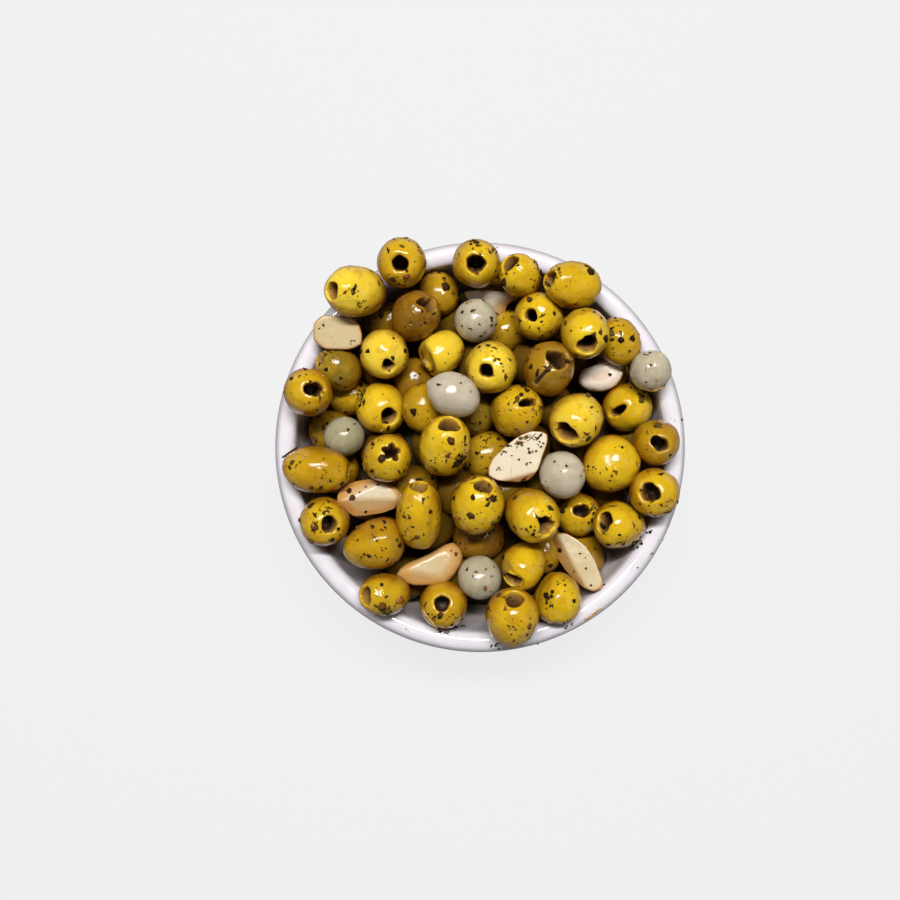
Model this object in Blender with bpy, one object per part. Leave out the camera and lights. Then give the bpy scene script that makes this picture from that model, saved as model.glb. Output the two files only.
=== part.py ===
"""A glazed bowl heaped with pitted green olives, peeled garlic and pearl onions.

All sizes are in millimetres and become metres when a mesh is made. The origin is the middle of
the foot, on the bowl's axis, with +Z up. The olives are one fused solid over a plain core, and
each onion and each piece of garlic is a solid of its own.
"""
import math

import bmesh
import bpy
import numpy as np
from mathutils import Matrix, Vector
from mathutils.bvhtree import BVHTree

MM = 0.001
GAP = 0.35                   # air left between two pieces that touch
MERGE = 0.00001              # points closer than this, in metres, are one point

# The bowl
RIM_RADIUS = 75.0            # out to the edge of the rolled rim
RIM_WIDTH = 7.6              # the roll, from its inner to its outer edge
RIM_ROLL = 6.6               # the roll, from its underside to its top
BOWL_HEIGHT = 56.0
WALL_TOP = BOWL_HEIGHT - RIM_ROLL * 0.6
WALL = 4.6                   # how thick the wall is below the rim
BOWL_ROUND = 2.3             # exponent of the wall's curve: 2 is an ellipse, more is squarer
FLOOR = 8.0                  # height of the inside floor
FOOT_RADIUS = 39.0
FOOT_WIDTH = 4.5
FOOT_RECESS = 3.4            # how far the underside is above the table inside the foot
FOOT_HEIGHT = 8.5
FOOT_FLARE = 0.6             # how much wider the foot is where it meets the wall
FOOT_EDGE = 0.9              # the slope on the foot's outer edge
FOOT_SLOPE = 1.0             # how far its inner side leans in
FOOT_CLEAR = 2.0             # the wall's curve stops this far outside the foot
WALL_STEPS = 6
INSIDE_START = 24            # where the wall's curve leaves the floor, inside and outside,
OUTSIDE_START = 34           # in degrees of a quarter turn
RIM_START = 165              # the roll's first point, in degrees, and how far apart they are
RIM_TURN = 42
RIM_POINTS = 6
INSIDE_POINTS = 12           # points of the outline from the floor to the rim's outer edge
BOWL_SIDES = 40
SURFACE_STEPS = 8            # points on each side of the outline that pieces rest against

# The heap
HEAP_CORE = 51.5             # top of the plain core on the axis
HEAP_FALL = 12.0             # how much lower the core is at the wall
HEAP_REACH = 60.0            # radius at which it has fallen that far
FUSED = 0.4                  # two olives that overlap by this much are joined by that alone
PEG_RADIUS = 1.8             # of the hidden pegs that join olives which only just touch
EYE = (-11.0, -1.0, 356.0)   # where the heap was looked at from, straight above the table
LAYER_STEP = 13.0            # how much higher each layer starts before the heap settles
SETTLE_ROUNDS = 520
SLOW_FROM = 0.75             # share of the rounds after which the pieces move slowly
PUSHES = 3                   # how often in a round they push each other apart
FALL = (0.25, 0.05)          # how far the pieces drop in a round, at first and near the end
HOLD = (0.30, 0.06)          # how strongly the line of sight holds them, at first and near the end
TOUCH = 0.965                # share of the full distance at which two pieces rest on each other
BED_PITCH = 17.5             # the olives under those that show lie in rows this far apart
BED_RADIUS = 58.0
BED_WIDTH = 15.5
BED_LENGTH = 18.0
BED_LAYER = -0.7
BED_LEAN = 95
CROWDED = 0.62               # share of the pitch within which another low olive takes the place
HOLE_RADIUS = 2.9            # the hole that the pit was pushed out of
HOLE_DEPTH = 5.5
HOLE_TAPER = 0.72            # how wide its floor is, as a share of its mouth
OLIVE_FULL = 0.9             # exponent of an olive's curve: 1 is an ellipse, less is fuller
CORE_SIDES = 24
CORE_STEPS = 4
CORE_CLEAR = 1.0             # how far the core's edge stays under its top
CORE_EDGE = 0.7              # how near the core comes to the rim, as a share of the room there
PEG_SIDES = 6
PEG_SHARE = 0.8              # length of a peg, as a share of the way between two middles

# The pitted olives. Place is where the line from the eye to the middle crosses the rim's plane.
# x, y, width, length, heading of the hole, its lean from the line of sight, layer
OLIVES = (
    (-45.5, 56.5, 18.0, 23.5, 178, 46, 3), (-28.5, 67.0, 17.5, 19.5, 200, 4, 3),
    (-1.5, 67.0, 17.0, 19.5, 180, 2, 3), (15.0, 61.5, 15.0, 17.0, 125, 45, 2),
    (33.0, 58.5, 16.5, 22.0, 167, 55, 3), (-23.0, 48.0, 17.0, 21.0, 45, 42, 3),
    (-15.5, 57.5, 14.5, 16.5, 120, 110, 1), (20.0, 48.5, 17.5, 19.5, 165, 20, 4),
    (38.0, 40.5, 17.0, 20.0, -80, 27, 3), (51.2, 39.0, 15.5, 17.5, -60, 100, 1),
    (-35.0, 34.0, 17.5, 19.0, -71, 31, 4), (-15.0, 33.5, 16.0, 18.0, -140, 80, 4),
    (3.5, 29.0, 18.5, 20.5, -146, 13, 3), (24.5, 28.0, 19.0, 21.5, 48, 28, 2),
    (-63.0, 20.0, 17.0, 19.5, 28, 16, 3), (-34.5, 14.0, 18.5, 20.5, -46, 28, 3),
    (12.5, 13.5, 18.5, 21.0, 37, 33, 3), (34.5, 10.5, 18.5, 22.0, -127, 37, 3),
    (54.0, 15.5, 18.0, 20.0, -163, 24, 2), (64.0, 1.5, 16.5, 19.0, -20, 10, 2),
    (45.5, -6.0, 20.0, 21.5, 60, 110, 2), (-13.0, 1.0, 18.5, 24.0, 78, 42, 3),
    (-34.0, -4.0, 17.0, 19.0, 55, 20, 3), (-59.0, -7.0, 17.5, 24.5, -8, 78, 3),
    (63.5, -16.5, 17.5, 19.0, 180, 10, 2), (-55.0, -26.0, 17.5, 19.0, -25, 15, 2),
    (-38.5, -35.0, 18.5, 22.0, 20, 100, 3), (-21.5, -25.0, 17.5, 26.0, 92, 58, 4),
    (-1.5, -21.0, 19.0, 23.0, 72, 42, 3), (18.0, -24.0, 18.0, 22.5, -38, 38, 3),
    (35.5, -23.0, 16.5, 18.5, 45, 13, 2), (52.0, -29.5, 17.5, 21.0, 163, 32, 3),
    (16.0, -42.5, 16.0, 19.0, -125, 50, 2), (-33.5, -53.0, 15.0, 20.5, 184, 48, 2),
    (-13.5, -58.0, 17.5, 19.0, 150, 4, 2), (11.5, -63.0, 18.5, 23.0, 83, 40, 3),
    (28.5, -55.5, 17.0, 18.5, -85, 100, 2), (-36.5, 47.5, 16.0, 18.5, 200, 100, 1),
    (10.0, 40.5, 16.0, 18.5, 20, 100, 1), (-51.0, 29.0, 15.5, 18.0, 150, 60, 1),
    (-47.0, 19.0, 15.0, 17.0, 170, 100, 1), (-55.5, 6.5, 15.5, 18.0, 180, 100, 1),
    (-50.0, -10.0, 15.0, 17.0, 60, 100, 1), (-41.0, -20.0, 15.5, 17.5, 0, 100, 1),
    (3.5, 53.0, 14.5, 16.5, 80, 100, 0), (45.5, 25.5, 14.5, 16.5, 0, 100, 0),
    (-22.0, 15.0, 15.5, 18.0, 90, 100, 1), (-25.0, 24.5, 15.5, 17.5, 90, 100, 0),
    (1.5, -3.0, 16.5, 19.0, 30, 100, 1), (-0.5, 11.0, 16.5, 19.0, 120, 100, 1),
    (-24.0, -14.0, 15.5, 18.0, 0, 100, 0), (-1.0, -34.0, 17.0, 19.5, 0, 100, 0),
    (23.5, -37.5, 15.5, 18.0, 70, 100, 1), (38.5, -39.5, 16.0, 18.5, -60, 100, 1),
)

# The pearl onions: x, y, width, length, heading of the tip, its lean, layer
ONIONS = (
    (-2.0, 46.0, 15.5, 17.0, 80, 60, 3), (-10.5, 18.5, 15.5, 20.5, 155, 82, 4),
    (61.5, 28.5, 14.5, 16.0, 60, 60, 3), (-50.5, 3.5, 15.0, 15.5, 90, 60, 3),
    (30.5, -10.0, 17.0, 17.5, 200, 60, 5), (-0.5, -46.5, 16.0, 17.0, 70, 60, 3),
)

# The garlic: x, y, length, width, thickness, heading of the long axis, layer
GARLIC = (
    (-51.8, 40.3, 17.5, 12.5, 8.5, -4, 2), (4.4, 53.1, 19.5, 9.0, 7.0, -6, 2.4),
    (42.7, 26.8, 17.5, 11.0, 9.5, 20, 3.6), (13.5, -3.5, 22.5, 14.5, 9.5, 33, 3),
    (-39.8, -18.8, 23.5, 12.5, 10.5, 4, 3.6), (-18.6, -42.2, 25.0, 12.0, 10.5, 21, 3),
    (36.9, -43.3, 26.0, 12.5, 8.5, -59, 4),
)

# The form of each, in the same order: corners of its outline from its middle, as seen from above;
# how full its upper side is; the height of its flat top, as a share of half the thickness; and its
# flanks, each with the heading that it faces, how far from the middle it starts and its slope
CLOVES = (
    {"corners": ((-8.6, 5.8), (4.0, 5.8), (9.0, 1.4), (8.3, -6.5), (-9.0, -6.1)),
     "full": 5.0, "top": 0.75, "flanks": ((35, 6.5, 0.45),)},
    {"corners": ((-10.8, 4.7), (10.8, 3.2), (9.7, 1.1), (5.4, -0.7), (4.3, -5.0), (1.1, -5.4),
                 (-4.3, -2.2), (-9.7, 0.7)),
     "full": 3.0, "top": 0.60, "flanks": ((-60, 0.5, 0.60),)},
    {"corners": ((-8.6, -2.2), (-7.6, 1.8), (-2.5, 3.6), (5.4, 7.6), (8.3, 4.7), (8.3, -0.4),
                 (5.0, -4.7), (-0.7, -6.5), (-6.1, -5.4)),
     "full": 2.2, "top": 1.0, "flanks": ()},
    {"corners": ((-10.8, -2.2), (-10.4, -7.9), (2.5, -8.6), (6.6, -5.4), (8.2, -1.0), (10.6, 6.0),
                 (10.4, 9.3), (2.9, 9.7), (-4.7, 4.0)),
     "full": 4.5, "top": 0.62, "flanks": ((-75, 6.3, 1.30),)},
    {"corners": ((-12.6, 0.0), (-8.3, 5.4), (1.8, 7.2), (6.8, 6.1), (11.9, 2.2), (11.2, -1.4),
                 (8.3, -4.7), (-5.0, -6.8), (-8.3, -4.7)),
     "full": 3.0, "top": 0.75, "flanks": ((-90, 0.3, 0.75), (116, 3.2, 0.90))},
    {"corners": ((-13.0, -4.3), (-10.8, -0.4), (-0.7, 4.0), (7.2, 8.6), (10.4, 6.5), (12.2, 2.5),
                 (7.2, -6.1), (0.4, -7.6), (-7.6, -7.2)),
     "full": 2.3, "top": 0.85, "flanks": ((-100, 3.5, 0.60),)},
    {"corners": ((-6.8, 11.2), (1.4, 7.2), (5.0, 2.5), (7.6, -3.2), (9.4, -9.0), (4.0, -11.5),
                 (-4.0, -4.3), (-7.6, 1.1), (-9.4, 6.1)),
     "full": 3.0, "top": 0.45, "flanks": ((209, 2.1, 1.10),)},
)
BELLY = 2.3                  # how full the underside of a clove is; 2 is an ellipse
CORNER_CUT = 0.25            # share of each side that goes when an outline's corners are cut
CLOVE_RINGS = (25, 50, 70, 90, 115, 145)   # from the middle of the top, in degrees
ONION_SIDES = 10
ONION_RINGS = 7
ONION_ROOT = 0.94            # the root end and the tip, as shares of half the length
ONION_TIP = 0.97
ONION_NECK = 0.10            # width of the tip, as a share of the onion's
ONION_SHOULDER = 0.62        # share of the length at which it starts to narrow to the tip
ONION_NARROWING = 0.55
OLIVE_SIDES = 9
OLIVE_RINGS = 6
HIDDEN_SIDES = 7
HIDDEN_RINGS = 4

# The larger flakes of dried herb: where the eye sees each, its length, width and direction
FLAKES = (
    (-43.0, 52.0, 4.0, 2.5, 30), (-26.0, 76.0, 4.0, 2.0, 20), (-21.5, 71.5, 3.5, 2.0, -60),
    (-1.5, 74.0, 4.0, 2.0, 0), (19.5, 58.0, 3.5, 1.5, 70), (5.0, 31.5, 3.5, 1.5, 60),
    (-43.0, 19.0, 5.5, 3.5, 80), (10.5, 13.5, 3.0, 1.5, 40), (14.0, 12.0, 3.5, 2.0, -30),
    (9.5, 21.0, 3.0, 1.5, 0), (56.0, 21.5, 4.0, 2.0, -20), (59.0, 18.5, 3.5, 2.0, 50),
    (49.0, 0.5, 3.5, 2.0, 10), (45.5, -7.5, 3.5, 1.5, 90), (49.5, -9.0, 3.5, 2.0, -40),
    (-7.0, -4.5, 9.0, 2.5, 40), (-69.0, -2.0, 6.5, 1.5, 43), (-57.0, -22.0, 4.0, 2.0, 0),
    (-60.0, -27.5, 4.0, 2.5, 70), (-56.5, -30.5, 4.0, 2.0, -20), (-38.5, -33.0, 4.5, 2.5, 20),
    (-35.5, -36.5, 4.0, 2.0, -50), (-41.5, -39.0, 4.0, 2.0, 0), (-35.0, -28.5, 4.0, 2.0, 60),
    (2.5, -19.5, 3.5, 2.5, 20), (-8.0, -14.5, 3.5, 1.5, 40), (57.0, -35.0, 5.0, 3.5, 45),
    (-16.0, -62.0, 4.0, 2.0, -20), (11.0, -65.5, 5.0, 1.5, -30), (25.0, -55.5, 5.0, 3.5, 80),
    (4.0, 46.0, 4.0, 2.5, 70), (-2.5, -46.0, 3.5, 2.0, 30), (4.5, -46.5, 3.5, 2.0, -50),
    (15.0, 2.5, 4.0, 2.0, 30), (22.0, 1.0, 3.5, 2.0, -20), (39.5, -50.0, 3.5, 2.0, 30),
    (-58.0, 44.0, 4.0, 1.5, 40),
)
FLAKE_THICK = 0.9
FLAKE_SIDES = 6
FLAKE_WAVE = 0.22            # how uneven its outline is
FLAKE_LIFT = 0.1             # how far its edge stands above what it lies on
CREASE = 38                  # edges sharper than this, in degrees, are drawn sharp

# Colour, roughness and metallic value of each sub-part
GLAZE = ((0.80, 0.77, 0.80), 0.12, 0.0)
OLIVE_SKIN = ((0.50, 0.38, 0.03), 0.22, 0.0)
ONION_SKIN = ((0.55, 0.55, 0.42), 0.18, 0.0)
GARLIC_FLESH = ((0.80, 0.66, 0.44), 0.30, 0.0)


def clear_scene():
    for item in list(bpy.data.objects):
        bpy.data.objects.remove(item, do_unlink=True)


def material(name, finish):
    colour, roughness, metallic = finish
    made = bpy.data.materials.new(name)
    made.use_nodes = True
    shader = made.node_tree.nodes["Principled BSDF"]
    shader.inputs["Base Color"].default_value = (*colour, 1.0)
    shader.inputs["Roughness"].default_value = roughness
    shader.inputs["Metallic"].default_value = metallic
    return made


def add_object(name, bm, finish, collection=None):
    """Close a bmesh into a named object of one material, in metres."""
    bmesh.ops.remove_doubles(bm, verts=bm.verts, dist=MERGE)
    bmesh.ops.triangulate(bm, faces=bm.faces)
    bmesh.ops.recalc_face_normals(bm, faces=bm.faces)
    mesh = bpy.data.meshes.new(name)
    bm.to_mesh(mesh)
    bm.free()
    if finish:
        mesh.materials.append(finish)
    made = bpy.data.objects.new(name, mesh)
    (collection or bpy.context.scene.collection).objects.link(made)
    return made


# Turned shapes

def turned(outline, sides):
    """Spin an outline of (radius, height) points about Z; both its ends lie on the axis."""
    bm = bmesh.new()
    points = [bm.verts.new((radius * MM, 0.0, height * MM)) for radius, height in outline]
    edges = [bm.edges.new(pair) for pair in zip(points[:-1], points[1:])]
    bmesh.ops.spin(bm, geom=points + edges, cent=(0, 0, 0), axis=(0, 0, 1),
                   angle=math.tau, steps=sides, use_merge=True)
    bmesh.ops.remove_doubles(bm, verts=bm.verts, dist=MERGE)
    return bm


def wall_curve(radius, depth, start):
    """A quarter of a rounded square from near the floor to the underside of the rim."""
    points = []
    for step in range(WALL_STEPS + 1):
        angle = math.radians(start + (90 - start) * step / WALL_STEPS)
        out = math.sin(angle) ** (2 / BOWL_ROUND)
        down = max(math.cos(angle), 0.0) ** (2 / BOWL_ROUND)
        points.append((radius * out, WALL_TOP - depth * down))
    return points


def rim_roll(grow):
    """The rolled rim, from its inner edge over the top to its underside."""
    middle = RIM_RADIUS - RIM_WIDTH / 2
    height = BOWL_HEIGHT - RIM_ROLL / 2
    points = []
    for step in range(RIM_POINTS):
        angle = math.radians(RIM_START - RIM_TURN * step)
        points.append((middle + (RIM_WIDTH / 2 + grow) * math.cos(angle),
                       height + (RIM_ROLL / 2 + grow) * math.sin(angle)))
    return points


def bowl_outline(grow=0.0):
    """The bowl's outline; grow thickens the inside and the rim, for a cutter."""
    inner_radius = RIM_RADIUS - RIM_WIDTH - grow
    inner_depth = WALL_TOP - FLOOR - grow
    inside = [(0.0, FLOOR + grow)] + wall_curve(inner_radius, inner_depth, INSIDE_START)
    outer_radius = RIM_RADIUS - RIM_WIDTH + WALL * 0.75
    outer_depth = inner_depth + grow + WALL
    outside = wall_curve(outer_radius, outer_depth, OUTSIDE_START)
    outside = [point for point in outside if point[0] > FOOT_RADIUS + FOOT_CLEAR]
    foot = [
        (FOOT_RADIUS + FOOT_FLARE, FOOT_HEIGHT),
        (FOOT_RADIUS, FOOT_EDGE),
        (FOOT_RADIUS - FOOT_EDGE, 0.0),
        (FOOT_RADIUS - FOOT_WIDTH, 0.0),
        (FOOT_RADIUS - FOOT_WIDTH - FOOT_SLOPE, FOOT_RECESS),
        (0.0, FOOT_RECESS),
    ]
    return inside[:-1] + rim_roll(grow) + outside[-2::-1] + foot


# Where the pieces of the heap lie

def unit(vector):
    return vector / np.linalg.norm(vector)


def core_height(radius):
    return HEAP_CORE - HEAP_FALL * (radius / HEAP_REACH) ** 2


def turn_of(place, heading, lean):
    """Axes of a piece whose own Z leans from the line of sight towards a heading in plan."""
    toward = unit(np.array(EYE) - place)
    heading = math.radians(heading)
    flat = np.array((math.cos(heading), math.sin(heading), 0.0))
    flat = unit(flat - toward * (flat @ toward))
    lean = math.radians(lean)
    axis = toward * math.cos(lean) + flat * math.sin(lean)
    side = np.cross(toward, flat)
    return np.stack((np.cross(side, axis), side, axis), 1)


def heap_pieces():
    """Every piece of the heap: its kind, place in the rim's plane, half sizes, turn and layer."""
    pieces = []
    for x, y, width, length, heading, lean, layer in OLIVES:
        half = (width / 2, width / 2, length / 2)
        pieces.append({"kind": "olive", "seen": (x, y), "half": half, "layer": layer,
                       "heading": heading, "lean": lean})
    for x, y, width, length, heading, lean, layer in ONIONS:
        half = (width / 2, width / 2, length / 2)
        pieces.append({"kind": "onion", "seen": (x, y), "half": half, "layer": layer,
                       "heading": heading, "lean": lean})
    for (x, y, length, width, thick, heading, layer), form in zip(GARLIC, CLOVES):
        half = (thick / 2, width / 2, length / 2)
        pieces.append({"kind": "garlic", "seen": (x, y), "half": half, "layer": layer,
                       "heading": heading, "lean": 90, "form": form})
    pieces += bed_pieces(pieces)
    for piece in pieces:
        place = np.array((*piece["seen"], BOWL_HEIGHT))
        piece["turn"] = turn_of(place, piece["heading"], piece["lean"])
    return pieces


def bed_pieces(pieces):
    """Rows of olives under those that show, wherever no low olive lies already."""
    low = [piece["seen"] for piece in pieces if piece["layer"] < 2]
    reach = int(BED_RADIUS / BED_PITCH) + 1
    bed = []
    for row in range(-reach, reach + 1):
        for column in range(-reach, reach + 1):
            x = (column + 0.5 * (row % 2)) * BED_PITCH
            y = row * BED_PITCH * math.sqrt(0.75)
            crowded = any(math.hypot(x - other[0], y - other[1]) < BED_PITCH * CROWDED
                          for other in low)
            if crowded or math.hypot(x, y) > BED_RADIUS:
                continue
            half = (BED_WIDTH / 2, BED_WIDTH / 2, BED_LENGTH / 2)
            bed.append({"kind": "olive", "seen": (x, y), "half": half, "layer": BED_LAYER,
                        "heading": (37 * row + 71 * column) % 360, "lean": BED_LEAN})
    return bed


def bowl_surface():
    """Closely spaced points of the bowl's inside and rim, as (radius, height)."""
    inside = bowl_outline()[:INSIDE_POINTS]
    dense = []
    for start, end in zip(inside[:-1], inside[1:]):
        for share in np.linspace(0, 1, SURFACE_STEPS, endpoint=False):
            dense.append(np.array(start) * (1 - share) + np.array(end) * share)
    return np.array(dense)


def settle(pieces):
    """Lower all pieces together until they rest on each other, the core and the bowl.

    Each piece keeps near the line on which the eye sees it, so that the heap looks the same
    from there whatever height a piece comes to rest at.
    """
    count = len(pieces)
    seen = np.array([piece["seen"] for piece in pieces])
    half = np.array([piece["half"] for piece in pieces])
    turn = np.array([piece["turn"] for piece in pieces])
    layer = np.array([piece["layer"] for piece in pieces])
    eye = np.array(EYE)
    surface = bowl_surface()
    first, second = np.triu_indices(count, 1)
    place = np.column_stack((seen, BOWL_HEIGHT + LAYER_STEP * layer))
    for step in range(SETTLE_ROUNDS):
        slow = step > SETTLE_ROUNDS * SLOW_FROM
        place[:, 2] -= FALL[slow]
        share = (place[:, 2] - BOWL_HEIGHT) / (eye[2] - BOWL_HEIGHT)
        wanted = seen + (eye[None, :2] - seen) * share[:, None]
        place[:, :2] += HOLD[slow] * (wanted - place[:, :2])
        for _ in range(PUSHES):
            between = place[second] - place[first]
            distance = np.linalg.norm(between, axis=1)
            way = between / distance[:, None]
            reach = np.zeros(len(first))
            for side in (first, second):
                local = np.einsum("nij,ni->nj", turn[side], way)
                radial = 1 / np.sqrt(((local / half[side]) ** 2).sum(1))
                support = np.sqrt(((local * half[side]) ** 2).sum(1))
                reach += 0.5 * (radial + support)
            overlap = np.clip(reach * TOUCH - distance, 0, None)
            push = way * (overlap * 0.5)[:, None]
            np.add.at(place, first, -push)
            np.add.at(place, second, push)
            radius = np.hypot(place[:, 0], place[:, 1])
            offset = np.stack((radius, place[:, 2]), 1)[:, None, :] - surface[None]
            distance = np.linalg.norm(offset, axis=2)
            nearest = distance.argmin(1)
            near = distance[np.arange(count), nearest]
            away = offset[np.arange(count), nearest] / near[:, None]
            out = np.stack((away[:, 0] * place[:, 0] / radius, away[:, 0] * place[:, 1] / radius,
                            away[:, 1]), 1)
            local = np.einsum("nij,ni->nj", turn, out)
            support = np.sqrt(((local * half) ** 2).sum(1))
            place += out * np.clip(support + GAP - near, 0, None)[:, None]
            radius = np.hypot(place[:, 0], place[:, 1])
            place[:, 2] = np.maximum(place[:, 2], core_height(radius))
    for piece, where in zip(pieces, place):
        piece["place"] = where
    return pieces


def placement(piece):
    """The matrix that brings a piece's own millimetres-in-metres mesh to its place."""
    columns = np.column_stack((piece["turn"], piece["place"] * MM))
    return Matrix([list(row) for row in columns] + [[0, 0, 0, 1]])


# The pieces themselves

def olive_outline(half_width, half_length, rings, holed):
    """From the middle of the closed end, over the widest ring, into the hole's floor."""
    last = math.pi - (math.asin(HOLE_RADIUS / half_width) if holed else 0.0)
    outline = [(0.0, -half_length)]
    for ring in range(1, rings + 1 if holed else rings):
        angle = last * ring / rings
        outline.append((half_width * math.sin(angle) ** OLIVE_FULL, -half_length * math.cos(angle)))
    if holed:
        floor = outline[-1][1] - HOLE_DEPTH
        outline.append((HOLE_RADIUS * HOLE_TAPER, floor))
        outline.append((0.0, floor))
    else:
        outline.append((0.0, half_length))
    return outline


def olive_shape(piece):
    shown = piece["layer"] > 1
    sides = OLIVE_SIDES if shown else HIDDEN_SIDES
    rings = OLIVE_RINGS if shown else HIDDEN_RINGS
    fuller = 1 / math.cos(math.pi / sides) ** 0.5
    half_width, _, half_length = piece["half"]
    bm = turned(olive_outline(half_width * fuller, half_length, rings, shown), sides)
    bm.transform(placement(piece))
    return bm


def onion_outline(half_width, half_length):
    outline = [(0.0, -half_length * ONION_ROOT)]
    for ring in range(1, ONION_RINGS):
        angle = math.pi * ring / ONION_RINGS
        point = max(ring / ONION_RINGS - ONION_SHOULDER, 0.0)
        outline.append((half_width * math.sin(angle) * (1 - ONION_NARROWING * point),
                        -half_length * ONION_ROOT * math.cos(angle)))
    outline.append((half_width * ONION_NECK, half_length * ONION_TIP))
    outline.append((0.0, half_length))
    return outline


def onion_shape(piece, grow=0.0):
    half_width, _, half_length = piece["half"]
    bm = turned(onion_outline(half_width + grow, half_length + grow), ONION_SIDES)
    bm.transform(placement(piece))
    return bm


def clove_outline(piece, grow):
    """The outline with its corners cut, turned to the piece's own axes: (across, along)."""
    points = np.array(piece["form"]["corners"])
    after = np.roll(points, -1, 0)
    kept = 1 - CORNER_CUT
    cut = np.stack((points * kept + after * CORNER_CUT, points * CORNER_CUT + after * kept), 1)
    turn = math.radians(piece["heading"])
    own_axes = np.array(((-math.sin(turn), math.cos(turn)), (math.cos(turn), math.sin(turn))))
    outline = cut.reshape(-1, 2) @ own_axes.T
    return outline * (1 + grow / np.linalg.norm(outline, axis=1))[:, None]


def clove_top(piece, across, along):
    """Height of the flat top and of the flanks that slope away from it, whichever is lower."""
    form = piece["form"]
    top = form["top"] * piece["half"][0]
    lowest = top
    for heading, start, slope in form["flanks"]:
        facing = math.radians(heading - piece["heading"])
        out = along * math.cos(facing) + across * math.sin(facing)
        lowest = min(lowest, top - slope * (out - start))
    return lowest


def garlic_shape(piece, grow=0.0):
    """A clove: rings from the middle of its top, out to its outline, and in again below.

    A piece's own X axis points away from the eye, so what is up is negative there.
    """
    outline = clove_outline(piece, grow)
    thick = piece["half"][0] + grow
    full = piece["form"]["full"]
    bm = bmesh.new()
    rings = []
    for degrees in CLOVE_RINGS:
        angle = math.radians(degrees)
        power = 2 / (full if degrees < 90 else BELLY)
        out = math.sin(angle) ** power
        height = math.copysign(abs(math.cos(angle)) ** power, math.cos(angle))
        ring = []
        for across, along in outline * out:
            up = min(thick * height, clove_top(piece, across, along) + grow)
            ring.append(bm.verts.new((-up * MM, across * MM, along * MM)))
        rings.append(ring)
    for ring, following in zip(rings[:-1], rings[1:]):
        for corner in range(len(ring)):
            after = (corner + 1) % len(ring)
            bm.faces.new((ring[corner], ring[after], following[after], following[corner]))
    summit = min(thick, clove_top(piece, 0, 0) + grow)
    for ring, height in ((rings[0][::-1], summit), (rings[-1], -thick)):
        middle = bm.verts.new((-height * MM, 0.0, 0.0))
        for corner in range(len(ring)):
            bm.faces.new((ring[corner], ring[(corner + 1) % len(ring)], middle))
    bm.transform(placement(piece))
    return bm


def lay_flakes(pieces):
    """Give each flake to the first piece that the eye meets there, with the point and normal."""
    eye = Vector(EYE) * MM
    for flake in FLAKES:
        way = (Vector((flake[0], flake[1], BOWL_HEIGHT)) * MM - eye).normalized()
        hits = []
        for index, piece in enumerate(pieces):
            point, normal, _, distance = piece["tree"].ray_cast(eye, way)
            if point:
                hits.append((distance, index, point, normal))
        if hits:
            _, index, point, normal = min(hits)
            pieces[index]["flakes"].append((flake, point, normal))


def make_flake(flake, point, normal, collection):
    """A flat lens of uneven outline, half sunk in what it lies on."""
    length, width, heading = flake[2:]
    heading = math.radians(heading)
    way = Vector((math.cos(heading), math.sin(heading), 0.0))
    way = (way - normal * way.dot(normal)).normalized()
    side = normal.cross(way)
    bm = bmesh.new()
    top = bm.verts.new(point + normal * FLAKE_THICK * 0.5 * MM)
    bottom = bm.verts.new(point - normal * FLAKE_THICK * MM)
    edge = []
    for corner in range(FLAKE_SIDES):
        angle = math.tau * corner / FLAKE_SIDES
        wave = 1 + FLAKE_WAVE * math.sin(3 * angle + 2 * length)
        reach = way * math.cos(angle) * length * wave + side * math.sin(angle) * width * wave
        edge.append(bm.verts.new(point + reach / 2 * MM + normal * FLAKE_LIFT * MM))
    for corner in range(FLAKE_SIDES):
        after = edge[(corner + 1) % FLAKE_SIDES]
        bm.faces.new((top, edge[corner], after))
        bm.faces.new((bottom, after, edge[corner]))
    return add_object("flake", bm, None, collection)


# Fusing

def boolean(target, operation, collection):
    """Join a whole collection to the target, or cut it away, then remove the collection."""
    modifier = target.modifiers.new(operation.lower(), "BOOLEAN")
    modifier.operation = operation
    modifier.operand_type = "COLLECTION"
    modifier.collection = collection
    modifier.solver = "EXACT"
    shape = bpy.context.evaluated_depsgraph_get()
    mesh = bpy.data.meshes.new_from_object(target.evaluated_get(shape))
    target.modifiers.clear()
    target.data = mesh
    for item in list(collection.objects):
        bpy.data.objects.remove(item, do_unlink=True)
    bpy.data.collections.remove(collection)


def new_collection(name):
    made = bpy.data.collections.new(name)
    bpy.context.scene.collection.children.link(made)
    return made


def shells(bm):
    """The separate closed surfaces of a mesh, as lists of faces."""
    left = set(bm.faces)
    found = []
    for seed in bm.faces:
        if seed not in left:
            continue
        left.discard(seed)
        shell = [seed]
        for face in shell:
            for edge in face.edges:
                for other in edge.link_faces:
                    if other in left:
                        left.discard(other)
                        shell.append(other)
        found.append(shell)
    return found


def volume(faces):
    total = 0.0
    for face in faces:
        first, *others = [corner.co for corner in face.verts]
        for second, third in zip(others[:-1], others[1:]):
            total += first.dot(second.cross(third)) / 6
    return total


def keep_main_shell(target):
    """Fill the hollows that fusing sealed, and drop scraps that came loose."""
    bm = bmesh.new()
    bm.from_mesh(target.data)
    bmesh.ops.triangulate(bm, faces=bm.faces)
    found = sorted(shells(bm), key=volume)
    scraps = [face for shell in found[:-1] for face in shell]
    bmesh.ops.delete(bm, geom=scraps, context="FACES")
    bm.to_mesh(target.data)
    bm.free()


def core_outline():
    """The plain core: it follows the bowl's inside and is domed on top."""
    inside = [(radius, height) for radius, height in bowl_outline(GAP)[:INSIDE_POINTS]
              if height < core_height(radius) - CORE_CLEAR]
    edge = inside[-1][0] + CORE_EDGE * (RIM_RADIUS - RIM_WIDTH - inside[-1][0])
    top = []
    for step in range(CORE_STEPS + 1):
        radius = edge * (1 - step / CORE_STEPS)
        top.append((radius, core_height(radius)))
    return inside + top


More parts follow.
